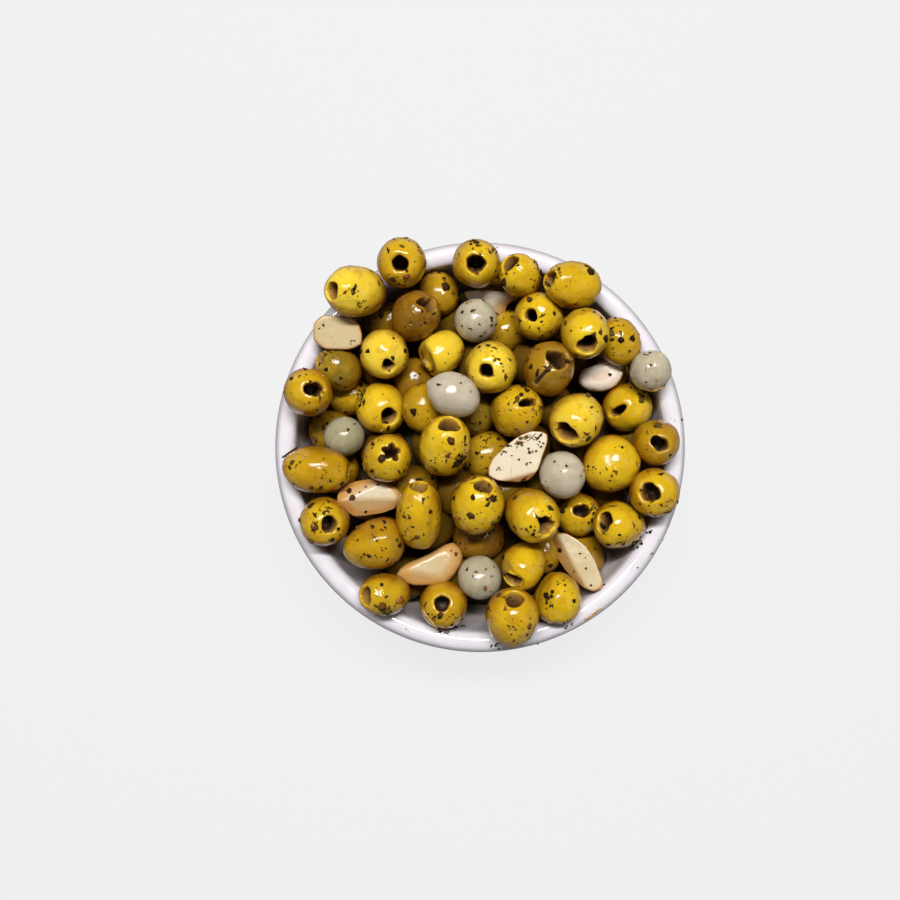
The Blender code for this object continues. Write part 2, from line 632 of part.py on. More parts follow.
def overlap(one, other):
    """How far two pieces reach into each other, negative where there is air between them."""
    between = other["place"] - one["place"]
    distance = np.linalg.norm(between)
    reach = 0.0
    for piece in (one, other):
        local = piece["turn"].T @ (between / distance)
        half = np.array(piece["half"])
        reach += 0.5 / np.linalg.norm(local / half) + 0.5 * np.linalg.norm(local * half)
    return reach - distance


def pegs(olives):
    """Pairs of olives that need a hidden peg between them for the heap to be one solid."""
    joined = []
    for index, olive in enumerate(olives):
        x, y, z = olive["place"]
        if z - olive["half"][0] < core_height(math.hypot(x, y)) - CORE_CLEAR:
            joined.append(index)
    needed = []
    while len(joined) < len(olives):
        others = [index for index in range(len(olives)) if index not in joined]
        most, one, other = max((overlap(olives[a], olives[b]), a, b) for a in joined for b in others)
        joined.append(other)
        if most < FUSED:
            needed.append((olives[one], olives[other]))
    return needed


def make_peg(one, other, collection):
    start, end = Vector(one["place"]) * MM, Vector(other["place"]) * MM
    way = end - start
    bm = bmesh.new()
    bmesh.ops.create_cone(bm, cap_ends=True, segments=PEG_SIDES, radius1=PEG_RADIUS * MM,
                          radius2=PEG_RADIUS * MM, depth=way.length * PEG_SHARE)
    turn = way.to_track_quat("Z", "Y").to_matrix().to_4x4()
    bm.transform(Matrix.Translation((start + end) / 2) @ turn)
    return add_object("peg", bm, None, collection)


SHAPES = {"olive": olive_shape, "onion": onion_shape, "garlic": garlic_shape}


def smooth(target):
    target.data.shade_smooth()
    target.data.set_sharp_from_angle(angle=math.radians(CREASE))


def make_heap(olives, finish):
    """The core and the olives in one solid, with the flakes that lie on them."""
    heap = add_object("olives", turned(core_outline(), CORE_SIDES), finish)
    joining = new_collection("olives_to_fuse")
    for olive in olives:
        add_object("olive", olive_shape(olive), None, joining)
        for flake in olive["flakes"]:
            make_flake(*flake, joining)
    for one, other in pegs(olives):
        make_peg(one, other, joining)
    boolean(heap, "UNION", joining)
    return heap


def make_single(name, piece, finish):
    """An onion or a piece of garlic, with the flakes that lie on it."""
    made = add_object(name, SHAPES[piece["kind"]](piece), finish)
    if piece["flakes"]:
        joining = new_collection("flakes_to_fuse")
        for flake in piece["flakes"]:
            make_flake(*flake, joining)
        boolean(made, "UNION", joining)
    smooth(made)


def build():
    clear_scene()
    bowl = add_object("bowl", turned(bowl_outline(), BOWL_SIDES), material("glaze", GLAZE))
    smooth(bowl)
    pieces = [piece for piece in settle(heap_pieces()) if piece["layer"] >= 0]
    for piece in pieces:
        shape = SHAPES[piece["kind"]](piece)
        shape.normal_update()
        piece["tree"] = BVHTree.FromBMesh(shape)
        piece["flakes"] = []
        shape.free()
    lay_flakes(pieces)
    olives = [piece for piece in pieces if piece["kind"] == "olive"]
    heap = make_heap(olives, material("olive_skin", OLIVE_SKIN))
    room = new_collection("room_for_neighbours")
    add_object("room", turned(bowl_outline(GAP), BOWL_SIDES), None, room)
    for kind, finish in (("onion", ONION_SKIN), ("garlic", GARLIC_FLESH)):
        shared = material(kind, finish)
        several = [piece for piece in pieces if piece["kind"] == kind]
        for number, piece in enumerate(several, 1):
            make_single(f"{kind}_{number}", piece, shared)
            add_object("room", SHAPES[kind](piece, GAP), None, room)
    boolean(heap, "DIFFERENCE", room)
    keep_main_shell(heap)
    smooth(heap)


build()
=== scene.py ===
# %% [markdown]
# # A bowl of marinated olives
#
# The real object is a small glazed bowl, heaped with pitted green olives, peeled garlic and pearl
# onions in oil and dried herbs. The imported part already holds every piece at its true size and
# place. This lesson gives each of them the surface that the eye expects.

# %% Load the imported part
import math

import bmesh
import bpy
import numpy as np
from mathutils import Matrix, Vector, noise
from mathutils.bvhtree import BVHTree


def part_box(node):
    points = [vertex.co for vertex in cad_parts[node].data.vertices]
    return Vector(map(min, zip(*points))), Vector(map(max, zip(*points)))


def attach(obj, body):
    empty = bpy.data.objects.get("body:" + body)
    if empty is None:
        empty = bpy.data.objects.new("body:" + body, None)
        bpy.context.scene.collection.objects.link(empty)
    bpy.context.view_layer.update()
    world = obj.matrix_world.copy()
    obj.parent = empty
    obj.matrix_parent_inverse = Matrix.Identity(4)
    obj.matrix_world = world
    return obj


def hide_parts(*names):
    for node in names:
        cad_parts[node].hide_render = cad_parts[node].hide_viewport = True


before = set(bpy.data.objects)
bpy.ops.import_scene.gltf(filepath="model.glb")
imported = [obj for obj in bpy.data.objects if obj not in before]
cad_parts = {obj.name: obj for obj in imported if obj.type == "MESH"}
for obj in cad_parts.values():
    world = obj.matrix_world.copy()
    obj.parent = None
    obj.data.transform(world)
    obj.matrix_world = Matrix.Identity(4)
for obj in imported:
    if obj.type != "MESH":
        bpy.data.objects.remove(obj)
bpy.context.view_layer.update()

MM = 0.001

# %% [markdown]
# ## Where we look from
#
# The bowl is seen from straight above, from close by. A camera looks down its own -Z axis, so it
# needs no turning. How near it stands matters more than the lens: it decides how much of each
# olive's side can be seen towards the rim.

# %% Camera
EYE = (-11.0, -1.0, 356.0)       # in millimetres from the middle of the foot
LENS = 33.1

camera = bpy.data.objects.new("eye", bpy.data.cameras.new("eye"))
bpy.context.scene.collection.objects.link(camera)
camera.location = Vector(EYE) * MM
camera.data.lens = LENS
camera.data.clip_start = 0.01
bpy.context.scene.camera = camera
print("the camera is", EYE[2], "mm above the table")

# %% [markdown]
# ## Light
#
# Each olive carries one short bright streak a little above its middle. A sphere mirrors what is
# halfway between the eye and the light, so the lamp is a wide, shallow panel overhead, leaning
# towards the top of the picture, with a thinner and brighter bar before it. Three dim panels stand
# in for walls, a weak even sky fills the shadows, and four weak lamps near the table light the
# outside of the bowl. The gaps between the olives stay nearly black.

# %% Lamps, sky and table
HEAP_MIDDLE = (0.0, 0.0, 0.05)   # in metres; all the lamps face it


def panel(name, place, width, height, power):
    """A rectangular lamp that faces the middle of the heap."""
    lamp = bpy.data.lights.new(name, "AREA")
    lamp.shape = "RECTANGLE"
    lamp.size, lamp.size_y = width, height
    lamp.energy = power
    made = bpy.data.objects.new(name, lamp)
    bpy.context.scene.collection.objects.link(made)
    made.location = place
    away = Vector(place) - Vector(HEAP_MIDDLE)
    made.rotation_euler = away.to_track_quat("Z", "Y").to_euler()
    made.visible_camera = False


# Name, place, width and height in metres, power in watts
PANELS = (
    ("window", (-0.02, 0.36, 0.98), 0.68, 0.12, 9.5),
    ("window_bar", (-0.02, 0.36, 0.97), 0.50, 0.02, 4.0),
    ("left_wall", (-0.75, -0.10, 0.60), 0.5, 0.5, 0.25),
    ("right_wall", (0.75, -0.10, 0.60), 0.5, 0.5, 0.45),
    ("near_wall", (0.0, -0.95, 0.45), 0.6, 0.4, 0.30),
)
LOW_RADIUS, LOW_HEIGHT, LOW_POWER = 0.7, 0.04, 0.16    # the lamps near the table
LOW_SIZE = (0.5, 0.06)

for row in PANELS:
    panel(*row)
for turn in range(45, 360, 90):
    side = math.radians(turn)
    panel(f"low_{turn}", (LOW_RADIUS * math.cos(side), LOW_RADIUS * math.sin(side), LOW_HEIGHT),
          *LOW_SIZE, LOW_POWER)


def seen_or_thrown(tree, socket, thrown, seen):
    """One grey for what the eye sees, and another for the light that reaches the bowl."""
    path = tree.nodes.new("ShaderNodeLightPath")
    pick = tree.nodes.new("ShaderNodeMix")
    pick.data_type = "RGBA"
    pick.inputs[6].default_value = (thrown, thrown * 0.98, thrown * 0.95, 1)
    pick.inputs[7].default_value = (seen, seen, seen, 1)
    tree.links.new(path.outputs["Is Camera Ray"], pick.inputs[0])
    tree.links.new(pick.outputs[2], socket)


SKY_THROWN, SKY_SEEN = 0.065, 0.87
TABLE_THROWN, TABLE_SEEN, TABLE_GLOW = 0.32, 0.05, 0.81

sky = bpy.data.worlds.new("sky")
sky.use_nodes = True
sky_colour = sky.node_tree.nodes["Background"].inputs["Color"]
seen_or_thrown(sky.node_tree, sky_colour, SKY_THROWN, SKY_SEEN)
bpy.context.scene.world = sky
bpy.context.scene.view_settings.view_transform = "Standard"


def pale_table():
    """A table that looks evenly pale, but throws no more light on the bowl than a grey one."""
    made = bpy.data.materials.new("pale_table")
    made.use_nodes = True
    shader = made.node_tree.nodes["Principled BSDF"]
    shader.inputs["Roughness"].default_value = 0.8
    shader.inputs["Specular IOR Level"].default_value = 0.1
    seen_or_thrown(made.node_tree, shader.inputs["Base Color"], TABLE_THROWN, TABLE_SEEN)
    seen_or_thrown(made.node_tree, shader.inputs["Emission Color"], 0.0, TABLE_GLOW)
    shader.inputs["Emission Strength"].default_value = 1.0
    return made


REACH = 6.0                      # half the table's width, in metres
table_corners = [(-REACH, -REACH, 0), (REACH, -REACH, 0), (REACH, REACH, 0), (-REACH, REACH, 0)]
table_mesh = bpy.data.meshes.new("table")
table_mesh.from_pydata(table_corners, [], [(0, 1, 2, 3)])
table = bpy.data.objects.new("table", table_mesh)
bpy.context.scene.collection.objects.link(table)
table.data.materials.append(pale_table())
print(len(bpy.data.lights), "lamps, a sky and a table")

# %% [markdown]
# ## Small helpers for node trees
#
# Shader trees and geometry trees are built the same way: make a node, set its own properties, fill
# its sockets, and link it. A socket gets either a plain number or the socket that feeds it.

# %% Helpers for nodes
def add_node(tree, kind, sockets=None, **properties):
    made = tree.nodes.new(kind)
    for key, value in properties.items():
        setattr(made, key, value)
    for key, value in (sockets or {}).items():
        feed(tree, made.inputs[key], value)
    return made


def feed(tree, socket, value):
    """A socket takes another socket, or a plain value."""
    if isinstance(value, bpy.types.NodeSocket):
        tree.links.new(value, socket)
    else:
        socket.default_value = value


def math_node(tree, operation, first, second=0.0, clamp=False):
    made = add_node(tree, "ShaderNodeMath", operation=operation, use_clamp=clamp)
    feed(tree, made.inputs[0], first)
    feed(tree, made.inputs[1], second)
    return made.outputs[0]


def vector_node(tree, operation, first, second=(0.0, 0.0, 0.0)):
    made = add_node(tree, "ShaderNodeVectorMath", operation=operation)
    feed(tree, made.inputs[0], first)
    feed(tree, made.inputs["Scale" if operation == "SCALE" else 1], second)
    return made.outputs[0]


def blend_colours(tree, share, first, second, way="MIX"):
    made = add_node(tree, "ShaderNodeMix", data_type="RGBA", blend_type=way, clamp_factor=True)
    for socket, value in ((0, share), (6, first), (7, second)):
        feed(tree, made.inputs[socket], value if not isinstance(value, tuple) else (*value, 1.0))
    return made.outputs[2]


def ramp(tree, value, stops):
    """A colour ramp; each stop is a position and a colour."""
    made = add_node(tree, "ShaderNodeValToRGB", {"Fac": value})
    while len(made.color_ramp.elements) < len(stops):
        made.color_ramp.elements.new(1.0)
    for element, (position, colour) in zip(made.color_ramp.elements, stops):
        element.position = position
        element.color = (*colour, 1.0)
    return made.outputs["Color"]


def remap(tree, value, low, high, to_low=0.0, to_high=1.0):
    return add_node(tree, "ShaderNodeMapRange", {
        "Value": value, "From Min": low, "From Max": high, "To Min": to_low, "To Max": to_high,
    }, interpolation_type="SMOOTHSTEP").outputs["Result"]


def read(tree, name, output="Fac"):
    """What a mesh attribute says: its number is Fac and its vector is Vector."""
    return add_node(tree, "ShaderNodeAttribute", attribute_name=name).outputs[output]


print("helpers ready")

# %% [markdown]
# ## Effects that several finishes share
#
# Patches, specks and the film of oil lie on more than one of the finishes. Each is a node group
# that is built once. It takes a position in millimetres and sizes by name, and puts out a value or
# a height, and every finish then uses it with sizes of its own.

# %% Shared shader groups
SPECK_EDGE = 14.0                # how sharply a speck ends


def shader_group(name, inputs, outputs):
    """An empty group with named sockets; each input has a name and its usual value."""
    group = bpy.data.node_groups.new(name, "ShaderNodeTree")
    for label, usual in inputs.items():
        kind = "NodeSocketVector" if usual is None else "NodeSocketFloat"
        socket = group.interface.new_socket(name=label, in_out="INPUT", socket_type=kind)
        if usual is not None:
            socket.default_value = usual
    for label in outputs:
        group.interface.new_socket(name=label, in_out="OUTPUT", socket_type="NodeSocketFloat")
    return group, group.nodes.new("NodeGroupInput"), group.nodes.new("NodeGroupOutput")


def use_group(tree, group, **sockets):
    made = tree.nodes.new("ShaderNodeGroup")
    made.node_tree = group
    for label, value in sockets.items():
        feed(tree, made.inputs[label], value)
    return made


def patches_group():
    """Soft uneven patches, from 0 to 1. Size is how far apart they are."""
    group, given, result = shader_group(
        "patches", {"Position": None, "Size": 5.0, "Detail": 2.0}, ["Patches"])
    frequency = math_node(group, "DIVIDE", 1.0, given.outputs["Size"])
    cloud = add_node(group, "ShaderNodeTexNoise", {
        "Vector": given.outputs["Position"], "Scale": frequency, "Detail": given.outputs["Detail"],
        "Roughness": 0.55,
    })
    feed(group, result.inputs["Patches"], remap(group, cloud.outputs["Fac"], 0.32, 0.68))
    return group


def speckle_group():
    """Separate round specks. Spacing is how far apart they are, Size how much of it they take."""
    group, given, result = shader_group(
        "speckle", {"Position": None, "Spacing": 2.0, "Size": 0.2}, ["Specks"])
    frequency = math_node(group, "DIVIDE", 1.0, given.outputs["Spacing"])
    cells = add_node(group, "ShaderNodeTexVoronoi", {
        "Vector": given.outputs["Position"], "Scale": frequency, "Randomness": 1.0,
    })
    own = add_node(group, "ShaderNodeSeparateColor", {"Color": cells.outputs["Color"]})
    edge = math_node(group, "MULTIPLY", given.outputs["Size"], own.outputs["Red"])
    gone = math_node(group, "SUBTRACT", edge, cells.outputs["Distance"])
    sharp = math_node(group, "MULTIPLY", gone, SPECK_EDGE, clamp=True)
    feed(group, result.inputs["Specks"], sharp)
    return group


def oil_film_group():
    """Height of a wet skin: shallow dimples under a film that has gathered into beads."""
    group, given, result = shader_group(
        "oil_film", {"Position": None, "Dimples": 1.1, "Beads": 3.2}, ["Height"])
    fine = add_node(group, "ShaderNodeTexNoise", {
        "Vector": given.outputs["Position"], "Detail": 3.0, "Roughness": 0.6,
        "Scale": math_node(group, "DIVIDE", 1.0, given.outputs["Dimples"]),
    })
    broad = add_node(group, "ShaderNodeTexNoise", {
        "Vector": given.outputs["Position"], "Detail": 1.0,
        "Scale": math_node(group, "DIVIDE", 1.0, given.outputs["Beads"]),
    })
    height = math_node(group, "MULTIPLY_ADD", fine.outputs["Fac"], 0.35)
    feed(group, height.node.inputs[2], broad.outputs["Fac"])
    feed(group, result.inputs["Height"], height)
    return group


PATCHES, SPECKLE, OIL_FILM = patches_group(), speckle_group(), oil_film_group()
print("shared effects:", PATCHES.name, SPECKLE.name, OIL_FILM.name)


# %% A start for every finish
FILM_DEPTH = 0.0006              # of the oil, in metres


def finish(name, **sockets):
    """A material, its tree and its shader, with the even values set on the shader's sockets."""
    made = bpy.data.materials.new(name)
    made.use_nodes = True
    shader = made.node_tree.nodes["Principled BSDF"]
    for label, value in sockets.items():
        shader.inputs[label.replace("_", " ")].default_value = value
    return made, made.node_tree, shader


def object_place(tree):
    """Where a point lies in the part, in millimetres."""
    place = add_node(tree, "ShaderNodeTexCoord").outputs["Object"]
    return vector_node(tree, "SCALE", place, 1 / MM)


def wet_bump(tree, shader, position, strength, dimples=1.1, beads=3.2):
    """The oil film's height turns the light by way of a Bump node."""
    film = use_group(tree, OIL_FILM, Position=position, Dimples=dimples, Beads=beads)
    bump = add_node(tree, "ShaderNodeBump", {
        "Strength": strength, "Distance": FILM_DEPTH, "Height": film.outputs["Height"],
    })
    feed(tree, shader.inputs["Normal"], bump.outputs["Normal"])


print("every finish starts from", finish.__name__)

# %% [markdown]
# ## The finish of the bowl
#
# The bowl is white stoneware under a clear, slightly violet glaze. Grey painted over the outer half
# of the rim's roll is painted shade, and the ring that it was fired on is bare. A fine film of oil
# and crumbs dirties the inside. A pattern on the height and on the radius does all of that.

# %% Glaze
def glaze_finish():
    made, tree, shader = finish("glaze", Roughness=0.10, Coat_Weight=0.5, Coat_Roughness=0.03,
                                IOR=1.5)
    place = object_place(tree)
    parts = add_node(tree, "ShaderNodeSeparateXYZ", {"Vector": place})
    level = vector_node(tree, "MULTIPLY", place, (1.0, 1.0, 0.0))
    length = add_node(tree, "ShaderNodeVectorMath", {0: level}, operation="LENGTH")
    radius = length.outputs["Value"]
    patches = use_group(tree, PATCHES, Position=place, Size=9.0, Detail=3.0).outputs["Patches"]
    base = blend_colours(tree, patches, (0.76, 0.73, 0.765), (0.70, 0.665, 0.705))
    # painted shade: grey over the outer half of the rim's roll
    thin = math_node(tree, "MULTIPLY", remap(tree, radius, 72.2, 74.9), 0.75)
    base = blend_colours(tree, thin, base, (0.30, 0.26, 0.31))
    inside = remap(tree, radius, 69.5, 66.0)
    higher = remap(tree, parts.outputs["Z"], 30.0, 54.0, 0.85, 0.25)
    oily = math_node(tree, "MULTIPLY", inside, higher)
    base = blend_colours(tree, oily, base, (0.40, 0.34, 0.27))
    foot = math_node(tree, "MULTIPLY", remap(tree, parts.outputs["Z"], 1.2, 0.7), 0.9)
    base = blend_colours(tree, foot, base, (0.52, 0.44, 0.36))
    specks = use_group(tree, SPECKLE, Position=place, Spacing=2.6, Size=0.16).outputs["Specks"]
    crumbs = math_node(tree, "MULTIPLY", specks, inside)
    base = blend_colours(tree, crumbs, base, (0.07, 0.05, 0.03))
    feed(tree, shader.inputs["Base Color"], base)
    rough = remap(tree, foot, 0.0, 1.0, 0.10, 0.7)
    feed(tree, shader.inputs["Roughness"], rough)
    wet_bump(tree, shader, place, 0.05, dimples=2.0, beads=14.0)
    return made


GLAZE = glaze_finish()
print("finish:", GLAZE.name)

# %% [markdown]
# ## The bowl
#
# A potter turns a bowl on a wheel, and Blender's spin does the same with an outline: the inside up
# to the rim, over the thick roll, and down the outside to the foot. The sizes are those of the
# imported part, so the finer bowl lies over the plain one.

# %% Outline of the bowl, in millimetres
RIM_RADIUS, RIM_WIDTH, RIM_ROLL = 75.0, 7.6, 6.6
BOWL_HEIGHT, WALL, BOWL_ROUND, FLOOR = 56.0, 4.6, 2.3, 8.0
WALL_TOP = BOWL_HEIGHT - RIM_ROLL * 0.6
FOOT_RADIUS, FOOT_WIDTH, FOOT_RECESS, FOOT_HEIGHT = 39.0, 4.5, 3.4, 8.5
FOOT_FLARE, FOOT_EDGE, FOOT_BEVEL, FOOT_SLOPE, FOOT_CLEAR = 0.6, 0.9, 0.25, 1.0, 2
INSIDE_START, OUTSIDE_START = 24, 34         # where the wall's curves start, in degrees
OUTSIDE_WALL = 0.75                          # share of the wall's thickness at the rim
RIM_START, RIM_END = 165, -45                # the roll's ends, in degrees


def wall_curve(radius, depth, start, steps):
    points = []
    for step in range(steps + 1):
        angle = math.radians(start + (90 - start) * step / steps)
        out = math.sin(angle) ** (2 / BOWL_ROUND)
        down = max(math.cos(angle), 0.0) ** (2 / BOWL_ROUND)
        points.append((radius * out, WALL_TOP - depth * down))
    return points


def rim_roll(steps):
    points = []
    for step in range(steps + 1):
        angle = math.radians(RIM_START + (RIM_END - RIM_START) * step / steps)
        points.append((RIM_RADIUS - RIM_WIDTH / 2 + RIM_WIDTH / 2 * math.cos(angle),
                       BOWL_HEIGHT - RIM_ROLL / 2 + RIM_ROLL / 2 * math.sin(angle)))
    return points


def bowl_outline(wall_steps, rim_steps):
    inner_depth = WALL_TOP - FLOOR
    inner_radius = RIM_RADIUS - RIM_WIDTH
    inside = [(0.0, FLOOR)] + wall_curve(inner_radius, inner_depth, INSIDE_START, wall_steps)
    outer_radius = inner_radius + WALL * OUTSIDE_WALL
    outside = wall_curve(outer_radius, inner_depth + WALL, OUTSIDE_START, wall_steps)
    outside = [point for point in outside if point[0] > FOOT_RADIUS + FOOT_CLEAR]
    foot = [(FOOT_RADIUS + FOOT_FLARE, FOOT_HEIGHT), (FOOT_RADIUS, FOOT_EDGE),
            (FOOT_RADIUS - FOOT_BEVEL, FOOT_BEVEL), (FOOT_RADIUS - FOOT_EDGE, 0.0),
            (FOOT_RADIUS - FOOT_WIDTH, 0.0), (FOOT_RADIUS - FOOT_WIDTH - FOOT_SLOPE, FOOT_RECESS),
            (0.0, FOOT_RECESS)]
    return inside[:-1] + rim_roll(rim_steps) + outside[-2::-1] + foot


plain_outline = bowl_outline(wall_steps=6, rim_steps=5)
fine_outline = bowl_outline(wall_steps=30, rim_steps=30)
print("the fine outline has", len(fine_outline), "points, the plain one", len(plain_outline))


# %% Turn the bowl
MERGE = 0.00001                  # points closer than this, in metres, are one point
BOWL_SIDES, BOWL_CREASE = 144, 50


def new_object(name, mesh, material=None):
    if material:
        mesh.materials.append(material)
    made = bpy.data.objects.new(name, mesh)
    bpy.context.scene.collection.objects.link(made)
    return made


def closed_mesh(name, bm):
    """Merge seams and poles, and point every face outwards."""
    bmesh.ops.remove_doubles(bm, verts=bm.verts, dist=MERGE)
    bmesh.ops.recalc_face_normals(bm, faces=bm.faces)
    mesh = bpy.data.meshes.new(name)
    bm.to_mesh(mesh)
    bm.free()
    mesh.shade_smooth()
    return mesh


def turned(name, outline, sides):
    bm = bmesh.new()
    points = [bm.verts.new((radius * MM, 0.0, height * MM)) for radius, height in outline]
    edges = [bm.edges.new(pair) for pair in zip(points[:-1], points[1:])]
    bmesh.ops.spin(bm, geom=points + edges, cent=(0, 0, 0), axis=(0, 0, 1),
                   angle=math.tau, steps=sides, use_merge=True)
    return closed_mesh(name, bm)


bowl_mesh = turned("glazed_bowl", fine_outline, BOWL_SIDES)
bowl_mesh.set_sharp_from_angle(angle=math.radians(BOWL_CREASE))
glazed_bowl = new_object("glazed_bowl", bowl_mesh, GLAZE)
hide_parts("bowl")
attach(glazed_bowl, "root")
print("bowl faces:", len(bowl_mesh.polygons))

# %% [markdown]
# ## Where everything lies
#
# The heap was read from straight above: each row says where a piece is seen, how large it is and
# how it leans. How high it lies can't be seen, so all the pieces are let down together, along the
# lines on which the eye sees them, until they rest on each other and on the bowl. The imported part
# was made by the same rule, so these finer pieces land where its solids are.

# %% The rows that were read, in millimetres and degrees
# x, y, width, length, heading of the hole, its lean, layer; then the hole, its spin, tone, taper
# and green. Tone is 0 for bright yellow and 1 for brown; green is how far it turns to moss.
OLIVES = (
    (-45.5, 56.5, 18.0, 23.5, 178, 46, 3, "round", 0, 0.12, -0.05, 0.0),
    (-28.5, 67.0, 17.5, 19.5, 200, 4, 3, "round", 40, 0.42, 0.05, 0.0),
    (-1.5, 67.0, 17.0, 19.5, 180, 2, 3, "wide", 80, 0.40, 0.0, 0.0),
    (15.0, 61.5, 15.0, 17.0, 125, 45, 2, "wide", 10, 0.34, 0.05, 0.0),
    (33.0, 58.5, 16.5, 22.0, 167, 55, 3, "wide", 120, 0.42, -0.06, 0.0),
    (-23.0, 48.0, 17.0, 21.0, 45, 42, 3, "ragged", 15, 0.92, 0.08, 0.1),
    (-15.5, 57.5, 14.5, 16.5, 120, 110, 1, "round", 0, 0.60, 0.0, 0.0),
    (20.0, 48.5, 17.5, 19.5, 165, 20, 4, "small", 70, 0.30, 0.05, 0.0),
    (38.0, 40.5, 17.0, 20.0, -80, 27, 3, "wide", 30, 0.28, 0.04, 0.0),
    (51.2, 39.0, 15.5, 17.5, -60, 100, 1, "round", 0, 0.50, 0.0, 0.0),
    (-35.0, 34.0, 17.5, 19.0, -71, 31, 4, "small", 100, 0.10, 0.05, 0.0),
    (-15.0, 33.5, 16.0, 18.0, -140, 80, 4, "small", 0, 0.16, 0.12, 0.0),
    (3.5, 29.0, 18.5, 20.5, -146, 13, 3, "small", 20, 0.12, 0.04, 0.0),
    (24.5, 28.0, 19.0, 21.5, 48, 28, 2, "torn", -2, 0.74, 0.06, 0.25),
    (-63.0, 20.0, 17.0, 19.5, 28, 16, 3, "tall", 66, 0.52, 0.05, 0.0),
    (-34.5, 14.0, 18.5, 20.5, -46, 28, 3, "round", 60, 0.30, 0.05, 0.0),
    (12.5, 13.5, 18.5, 21.0, 37, 33, 3, "slit", 64, 0.44, 0.04, 0.0),
    (34.5, 10.5, 18.5, 22.0, -127, 37, 3, "wide", 0, 0.14, 0.10, 0.0),
    (54.0, 15.5, 18.0, 20.0, -163, 24, 2, "slit", 100, 0.38, 0.05, 0.0),
    (64.0, 1.5, 16.5, 19.0, -20, 10, 2, "tall", 80, 0.62, 0.0, 0.1),
    (45.5, -6.0, 20.0, 21.5, 60, 110, 2, "round", 0, 0.36, 0.10, 0.0),
    (-13.0, 1.0, 18.5, 24.0, 78, 42, 3, "wide", 20, 0.28, -0.04, 0.0),
    (-34.0, -4.0, 17.0, 19.0, 55, 20, 3, "star", 30, 0.40, 0.04, 0.1),
    (-59.0, -7.0, 17.5, 24.5, -8, 78, 3, "round", 0, 0.58, -0.08, 0.0),
    (63.5, -16.5, 17.5, 19.0, 180, 10, 2, "wide", 50, 0.42, 0.04, 0.0),
    (-55.0, -26.0, 17.5, 19.0, -25, 15, 2, "round", 35, 0.46, 0.05, 0.0),
    (-38.5, -35.0, 18.5, 22.0, 20, 100, 3, "small", 0, 0.62, 0.20, 0.1),
    (-21.5, -25.0, 17.5, 26.0, 92, 58, 4, "wide", 90, 0.46, -0.06, 0.0),
    (-1.5, -21.0, 19.0, 23.0, 72, 42, 3, "round", 10, 0.32, 0.04, 0.0),
    (18.0, -24.0, 18.0, 22.5, -38, 38, 3, "ragged", 60, 0.34, 0.08, 0.0),
    (35.5, -23.0, 16.5, 18.5, 45, 13, 2, "tall", 45, 0.46, 0.0, 0.0),
    (52.0, -29.5, 17.5, 21.0, 163, 32, 3, "tall", 0, 0.38, 0.05, 0.0),
    (16.0, -42.5, 16.0, 19.0, -125, 50, 2, "wide", 30, 0.40, 0.05, 0.0),
    (-33.5, -53.0, 15.0, 20.5, 184, 48, 2, "wide", 0, 0.42, 0.05, 0.15),
    (-13.5, -58.0, 17.5, 19.0, 150, 4, 2, "round", 15, 0.52, 0.0, 0.0),
    (11.5, -63.0, 18.5, 23.0, 83, 40, 3, "round", 75, 0.48, 0.14, 0.0),
    (28.5, -55.5, 17.0, 18.5, -85, 100, 2, "round", 0, 0.40, 0.05, 0.0),
    (-36.5, 47.5, 16.0, 18.5, 200, 100, 1, "round", 0, 0.80, 0.0, 0.2),
    (10.0, 40.5, 16.0, 18.5, 20, 100, 1, "round", 0, 0.62, 0.0, 0.2),
    (-51.0, 29.0, 15.5, 18.0, 150, 60, 1, "star", 20, 0.62, 0.0, 0.6),
    (-47.0, 19.0, 15.0, 17.0, 170, 100, 1, "round", 0, 0.50, 0.0, 0.0),
    (-55.5, 6.5, 15.5, 18.0, 180, 100, 1, "round", 0, 0.64, 0.0, 0.2),
    (-50.0, -10.0, 15.0, 17.0, 60, 100, 1, "round", 0, 0.60, 0.0, 0.1),
    (-41.0, -20.0, 15.5, 17.5, 0, 100, 1, "round", 0, 0.60, 0.0, 0.0),
    (3.5, 53.0, 14.5, 16.5, 80, 100, 0, "round", 0, 0.66, 0.0, 0.2),
    (45.5, 25.5, 14.5, 16.5, 0, 100, 0, "round", 0, 0.70, 0.0, 0.0),
    (-22.0, 15.0, 15.5, 18.0, 90, 100, 1, "round", 0, 0.58, 0.0, 0.1),
    (-25.0, 24.5, 15.5, 17.5, 90, 100, 0, "round", 0, 0.82, 0.0, 0.1),
    (1.5, -3.0, 16.5, 19.0, 30, 100, 1, "round", 0, 0.56, 0.0, 0.3),
    (-0.5, 11.0, 16.5, 19.0, 120, 100, 1, "round", 0, 0.72, 0.0, 0.8),
    (-24.0, -14.0, 15.5, 18.0, 0, 100, 0, "round", 0, 0.72, 0.0, 0.2),
    (-1.0, -34.0, 17.0, 19.5, 0, 100, 0, "round", 0, 0.92, 0.0, 0.1),
    (23.5, -37.5, 15.5, 18.0, 70, 100, 1, "round", 0, 0.60, 0.0, 0.0),
    (38.5, -39.5, 16.0, 18.5, -60, 100, 1, "round", 0, 0.72, 0.0, 0.1),
)

# x, y, width, length, heading of the tip, its lean, layer; then how green it has stained
ONIONS = (
    (-2.0, 46.0, 15.5, 17.0, 80, 60, 3, 0.35), (-10.5, 18.5, 15.5, 20.5, 155, 82, 4, 0.05),
    (61.5, 28.5, 14.5, 16.0, 60, 60, 3, 0.30), (-50.5, 3.5, 15.0, 15.5, 90, 60, 3, 0.85),
    (30.5, -10.0, 17.0, 17.5, 200, 60, 5, 0.15), (-0.5, -46.5, 16.0, 17.0, 70, 60, 3, 0.50),
)

